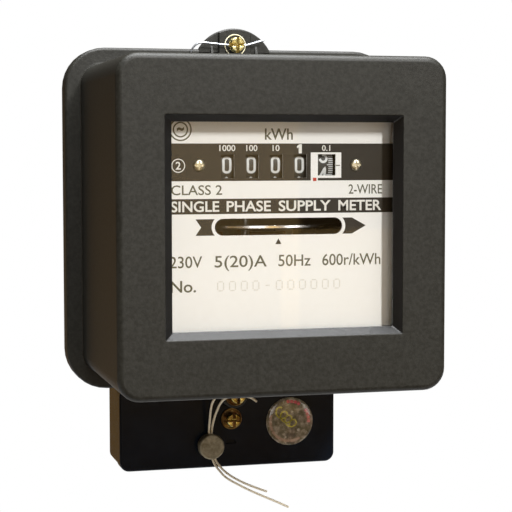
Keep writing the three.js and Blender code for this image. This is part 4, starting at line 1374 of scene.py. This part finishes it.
def lead_seal():
    """A cast lead disc, pressed and a little dented, with the two wires through it."""
    rng = random.Random(7)
    count = 64
    wobble = [rng.uniform(-0.06, 0.06) * MM for _ in range(count)]
    wobble = [(wobble[i - 1] + wobble[i] + wobble[(i + 1) % count]) / 3 for i in range(count)]
    edge, waist = mm(0.55, 0.15)
    # share of the radius, and place along the axis: a pressed hollow, its rim, the edge, the rear
    profile = [(share, y * MM - SEAL_HALF) for share, y in ((0, 0.25), (0.35, 0.24), (0.74, 0.2))]
    profile += [(0.8, 0.02 * MM - SEAL_HALF), (0.88, -SEAL_HALF)]
    profile += [(0.955, -SEAL_HALF + edge * 0.3), (1.0, -SEAL_HALF + edge), (0.985, -waist)]
    profile += [(0.985, waist), (1.0, SEAL_HALF - edge), (0.955, SEAL_HALF - edge * 0.3)]
    profile += [(share, SEAL_HALF) for share in (0.88, 0.4, 0)]
    loops = []
    for share, along in profile:
        loop = []
        for i, angle in enumerate(round_angles(count)):
            radius = max(SEAL_RADIUS * share + (wobble[i] if share > 0.7 else 0), 1e-6)
            depth = along + rng.uniform(-0.02, 0.02) * MM * min(1, share * 2)
            offset = Vector((radius * math.cos(angle), depth, radius * math.sin(angle)))
            loop.append(SEAL_PLACE + offset)
        loops.append(loop)
    bm = skinned(loops)
    return add_piece(bm, "lead_seal", LEAD, replaces=("seal_disc",), sharp=50)


# ------------------------------------------------------------------ inspection sticker
STICKER_PLACE = middle("inspection_sticker")
STICKER_RADIUS = half_size("inspection_sticker").x
STICKER_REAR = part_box("inspection_sticker")[1].y
FOIL_THICK = 0.3 * MM
FOIL_FACE = STICKER_REAR - FOIL_THICK
COIL_START = (-4.3, 4)
COIL_DRIFT = (6.1, -5.6)
COIL_RADIUS = 1.75
COIL_TURNS = 3.4


def sticker_disc(profile):
    return turned(profile, STICKER_PLACE.x, STICKER_REAR, STICKER_PLACE.z, 72)


def on_sticker(across, up):
    """A place on the foil from millimetres about its middle."""
    return (STICKER_PLACE.x + across * MM, STICKER_PLACE.z + up * MM)


def sticker_coil():
    """A plain coil that runs down to the right, laid in short joined lengths."""
    points = []
    lengths, per_length = 6, 16
    steps = lengths * per_length
    for step in range(steps + 1):
        share = step / steps
        angle = math.radians(40 + COIL_TURNS * 360 * share)
        across = COIL_START[0] + COIL_DRIFT[0] * share + COIL_RADIUS * math.cos(angle)
        up = COIL_START[1] + COIL_DRIFT[1] * share + COIL_RADIUS * math.sin(angle)
        points.append(on_sticker(across, up))
    bm = bmesh.new()
    for start in range(0, steps, per_length):
        flat_ribbon(bm, points[start : start + per_length + 1], 0.5 * MM, FOIL_FACE)
    add_piece(bm, "sticker_coil", FOIL_GREEN)


def sticker_dashes(name, starts, sweep, width, material):
    """Dashes just inside the sticker's rim, each from its start through the sweep, in degrees."""
    reach = STICKER_RADIUS - 1.6 * MM
    bm = bmesh.new()
    for start in starts:
        points = arc(STICKER_PLACE.x, STICKER_PLACE.z, reach, reach, start, start + sweep, 6)
        flat_ribbon(bm, points, width, FOIL_FACE)
    add_piece(bm, name, material)


def inspection_sticker():
    """A printed foil under a clear resin dome, with a plain coil, dashes and small painted highlights
    (glints).
    """
    radius = STICKER_RADIUS
    bm = sticker_disc([(radius, 0), (radius, -0.25 * MM), (radius - 0.1 * MM, -FOIL_THICK)])
    add_piece(bm, "sticker_base", FOIL, replaces=("inspection_sticker",))

    sticker_coil()
    red_starts = (99, 88, 77, 66, 36, 25, 14, 3)
    sticker_dashes("sticker_dashes", red_starts, -9, 1.2 * MM, FOIL_RED)
    sticker_dashes("sticker_arcs", range(160, 304, 16), 14, 1.0 * MM, FOIL_PINK)

    # Bright printed spots where the foil catches the light: painted highlights, not print.
    bm = bmesh.new()
    glints = ((-7.4, 4.6, 0.55), (3.5, -3.5, 0.6), (1, 3.6, 0.45), (5.9, 5.4, 0.9), (-1.6, -6, 0.4))
    for across, up, size in glints:
        flat_dot(bm, *on_sticker(across, up), size * MM, FOIL_FACE, 7)
    add_piece(bm, "sticker_painted_highlights", FOIL_PAINTED_HIGHLIGHT)

    steps = 12
    dome = [(radius * 0.5, -0.27 * MM), (radius - 0.05 * MM, -0.28 * MM)]
    for step in range(1, steps):
        angle = math.radians(90 * step / steps)
        rise = 0.68 * MM * math.sin(angle)
        dome.append((radius * 0.995 * math.cos(0.98 * angle), -FOIL_THICK - rise))
    dome.append((0, -0.99 * MM))
    bm = sticker_disc(dome)
    add_piece(bm, "sticker_dome", CLEAR_RESIN, sharp=60)


def flat_ribbon(bm, points, width, front):
    """A printed line one layer thick along the points."""
    last = len(points) - 1
    rows = []
    for i, (x, z) in enumerate(points):
        before, after = points[max(i - 1, 0)], points[min(i + 1, last)]
        along = Vector((after[0] - before[0], after[1] - before[1])).normalized()
        side_x, side_z = -along.y * width / 2, along.x * width / 2
        section = ((1, front), (1, front - PRINT), (-1, front - PRINT), (-1, front))
        rows.append([Vector((x + way * side_x, y, z + way * side_z)) for way, y in section])
    loft(bm, rows)


# ------------------------------------------------------------------ stage
def make_camera():
    data = bpy.data.cameras.new("camera")
    data.lens = CAMERA_LENS
    data.sensor_width = 36
    data.clip_start = 0.01
    data.clip_end = 100
    camera = bpy.data.objects.new("camera", data)
    forward = -aim(-CAMERA_YAW, CAMERA_PITCH, 1)
    turn = forward.to_track_quat("-Z", "Y").to_matrix().to_4x4()
    roll = Matrix.Rotation(math.radians(CAMERA_ROLL), 4, "Z")
    camera.matrix_world = Matrix.Translation(CAMERA_PLACE) @ turn @ roll
    bpy.context.scene.collection.objects.link(camera)
    bpy.context.scene.camera = camera


def make_floor():
    """A pale floor well below the meter, which hangs. It glows a little, to stay pale in shade."""
    bm = bmesh.new()
    left, right = FLOOR_X
    near, far = FLOOR_Y
    z = cad_low.z - FLOOR_DROP
    corners = ((left, near), (right, near), (right, far), (left, far))
    bm.faces.new([bm.verts.new((x, y, z)) for x, y in corners])
    floor = bpy.data.objects.new("floor", finish_mesh(bm, "floor"))
    bpy.context.scene.collection.objects.link(floor)
    pale = Paint("floor", (0.25,) * 3, 0.8)
    pale.color(pale.mix(pale.noise(8, 3), (0.23,) * 3, (0.27,) * 3))
    pale.set("Specular IOR Level", 0.1)
    pale.set("Emission Color", (1, 1, 1, 1))
    pale.set("Emission Strength", 0.3)
    floor.data.materials.append(pale.material)


def make_world():
    """Dim warm light from all round, warmest below, behind a white background."""
    world = bpy.data.worlds.new("studio")
    sky = Shading(world)
    light = sky.nodes["Background"]
    light.inputs["Strength"].default_value = 0.17
    parts = sky.node("ShaderNodeSeparateXYZ")
    sky.link(sky.node("ShaderNodeTexCoord").outputs["Generated"], parts.inputs["Vector"])
    glow = sky.ramp(parts.outputs["Z"], (0.0, (1.35, 0.82, 0.32)), (0.05, (0.36, 0.28, 0.21)))
    sky.link(glow, light.inputs["Color"])
    seen = sky.node("ShaderNodeBackground", Color=(1, 1, 1, 1))
    ray = sky.node("ShaderNodeLightPath")
    shaders = (light.outputs["Background"], seen.outputs["Background"])
    sky.mixed_shader(ray.outputs["Is Camera Ray"], *shaders, "World Output")
    bpy.context.scene.world = world
    bpy.context.scene.view_settings.view_transform = "Standard"


def aim(azimuth, elevation, distance):
    """A point at that distance, azimuth degrees to the right of straight in front."""
    turn, rise = math.radians(azimuth), math.radians(elevation)
    level = math.cos(rise)
    direction = Vector((math.sin(turn) * level, -math.cos(turn) * level, math.sin(rise)))
    return direction * distance


def soft_box(name, place, size, power, tint=(1, 1, 1)):
    """A rectangular light aimed at the nameplate. Place: azimuth, elevation, distance from it."""
    data = bpy.data.lights.new(name, "AREA")
    data.shape = "RECTANGLE"
    data.size, data.size_y = size
    data.energy = power
    data.color = tint
    light = bpy.data.objects.new(name, data)
    away = aim(*place)
    light.location = Vector((0, PLATE_FRONT, 0)) + away
    light.rotation_mode = "QUATERNION"
    light.rotation_quaternion = (-away).to_track_quat("-Z", "Y")
    bpy.context.scene.collection.objects.link(light)


def make_lights():
    """A key from the upper right of the camera, large lights overhead, and weak cards."""
    warm = (1, 0.66, 0.24)
    soft_box("key", (17, 31, 2.0), (0.16, 0.36), 31, (1, 0.985, 0.97))
    soft_box("fill", (-6, 14, 2.0), (0.5, 0.5), 2.2, (1, 0.98, 0.95))
    soft_box("overhead", (16, 54, 1.5), (1.0, 0.5), 10, (0.97, 0.99, 1))
    soft_box("top", (16, 80, 1.5), (1.3, 1.0), 85, (0.98, 0.99, 1))
    soft_box("card_left", (-2.5, -2, 1.5), (0.4, 0.3), 1.2)
    soft_box("card_right", (36, -2, 1.5), (0.4, 0.3), 1.2)
    soft_box("card_warm", (12.3, -2.2, 1.55), (0.24, 0.4), 0.34, warm)
    soft_box("card_low", (18.8, -6.2, 1.55), (0.16, 0.18), 0.1, warm)


make_camera()
make_floor()
make_world()
make_lights()
dress_cad_nodes()
front_cover()
base_and_terminals()
nameplate()
drums()
rotor_disc()
sealing_screws()
terminal_lid()
seal_wires()
inspection_sticker()
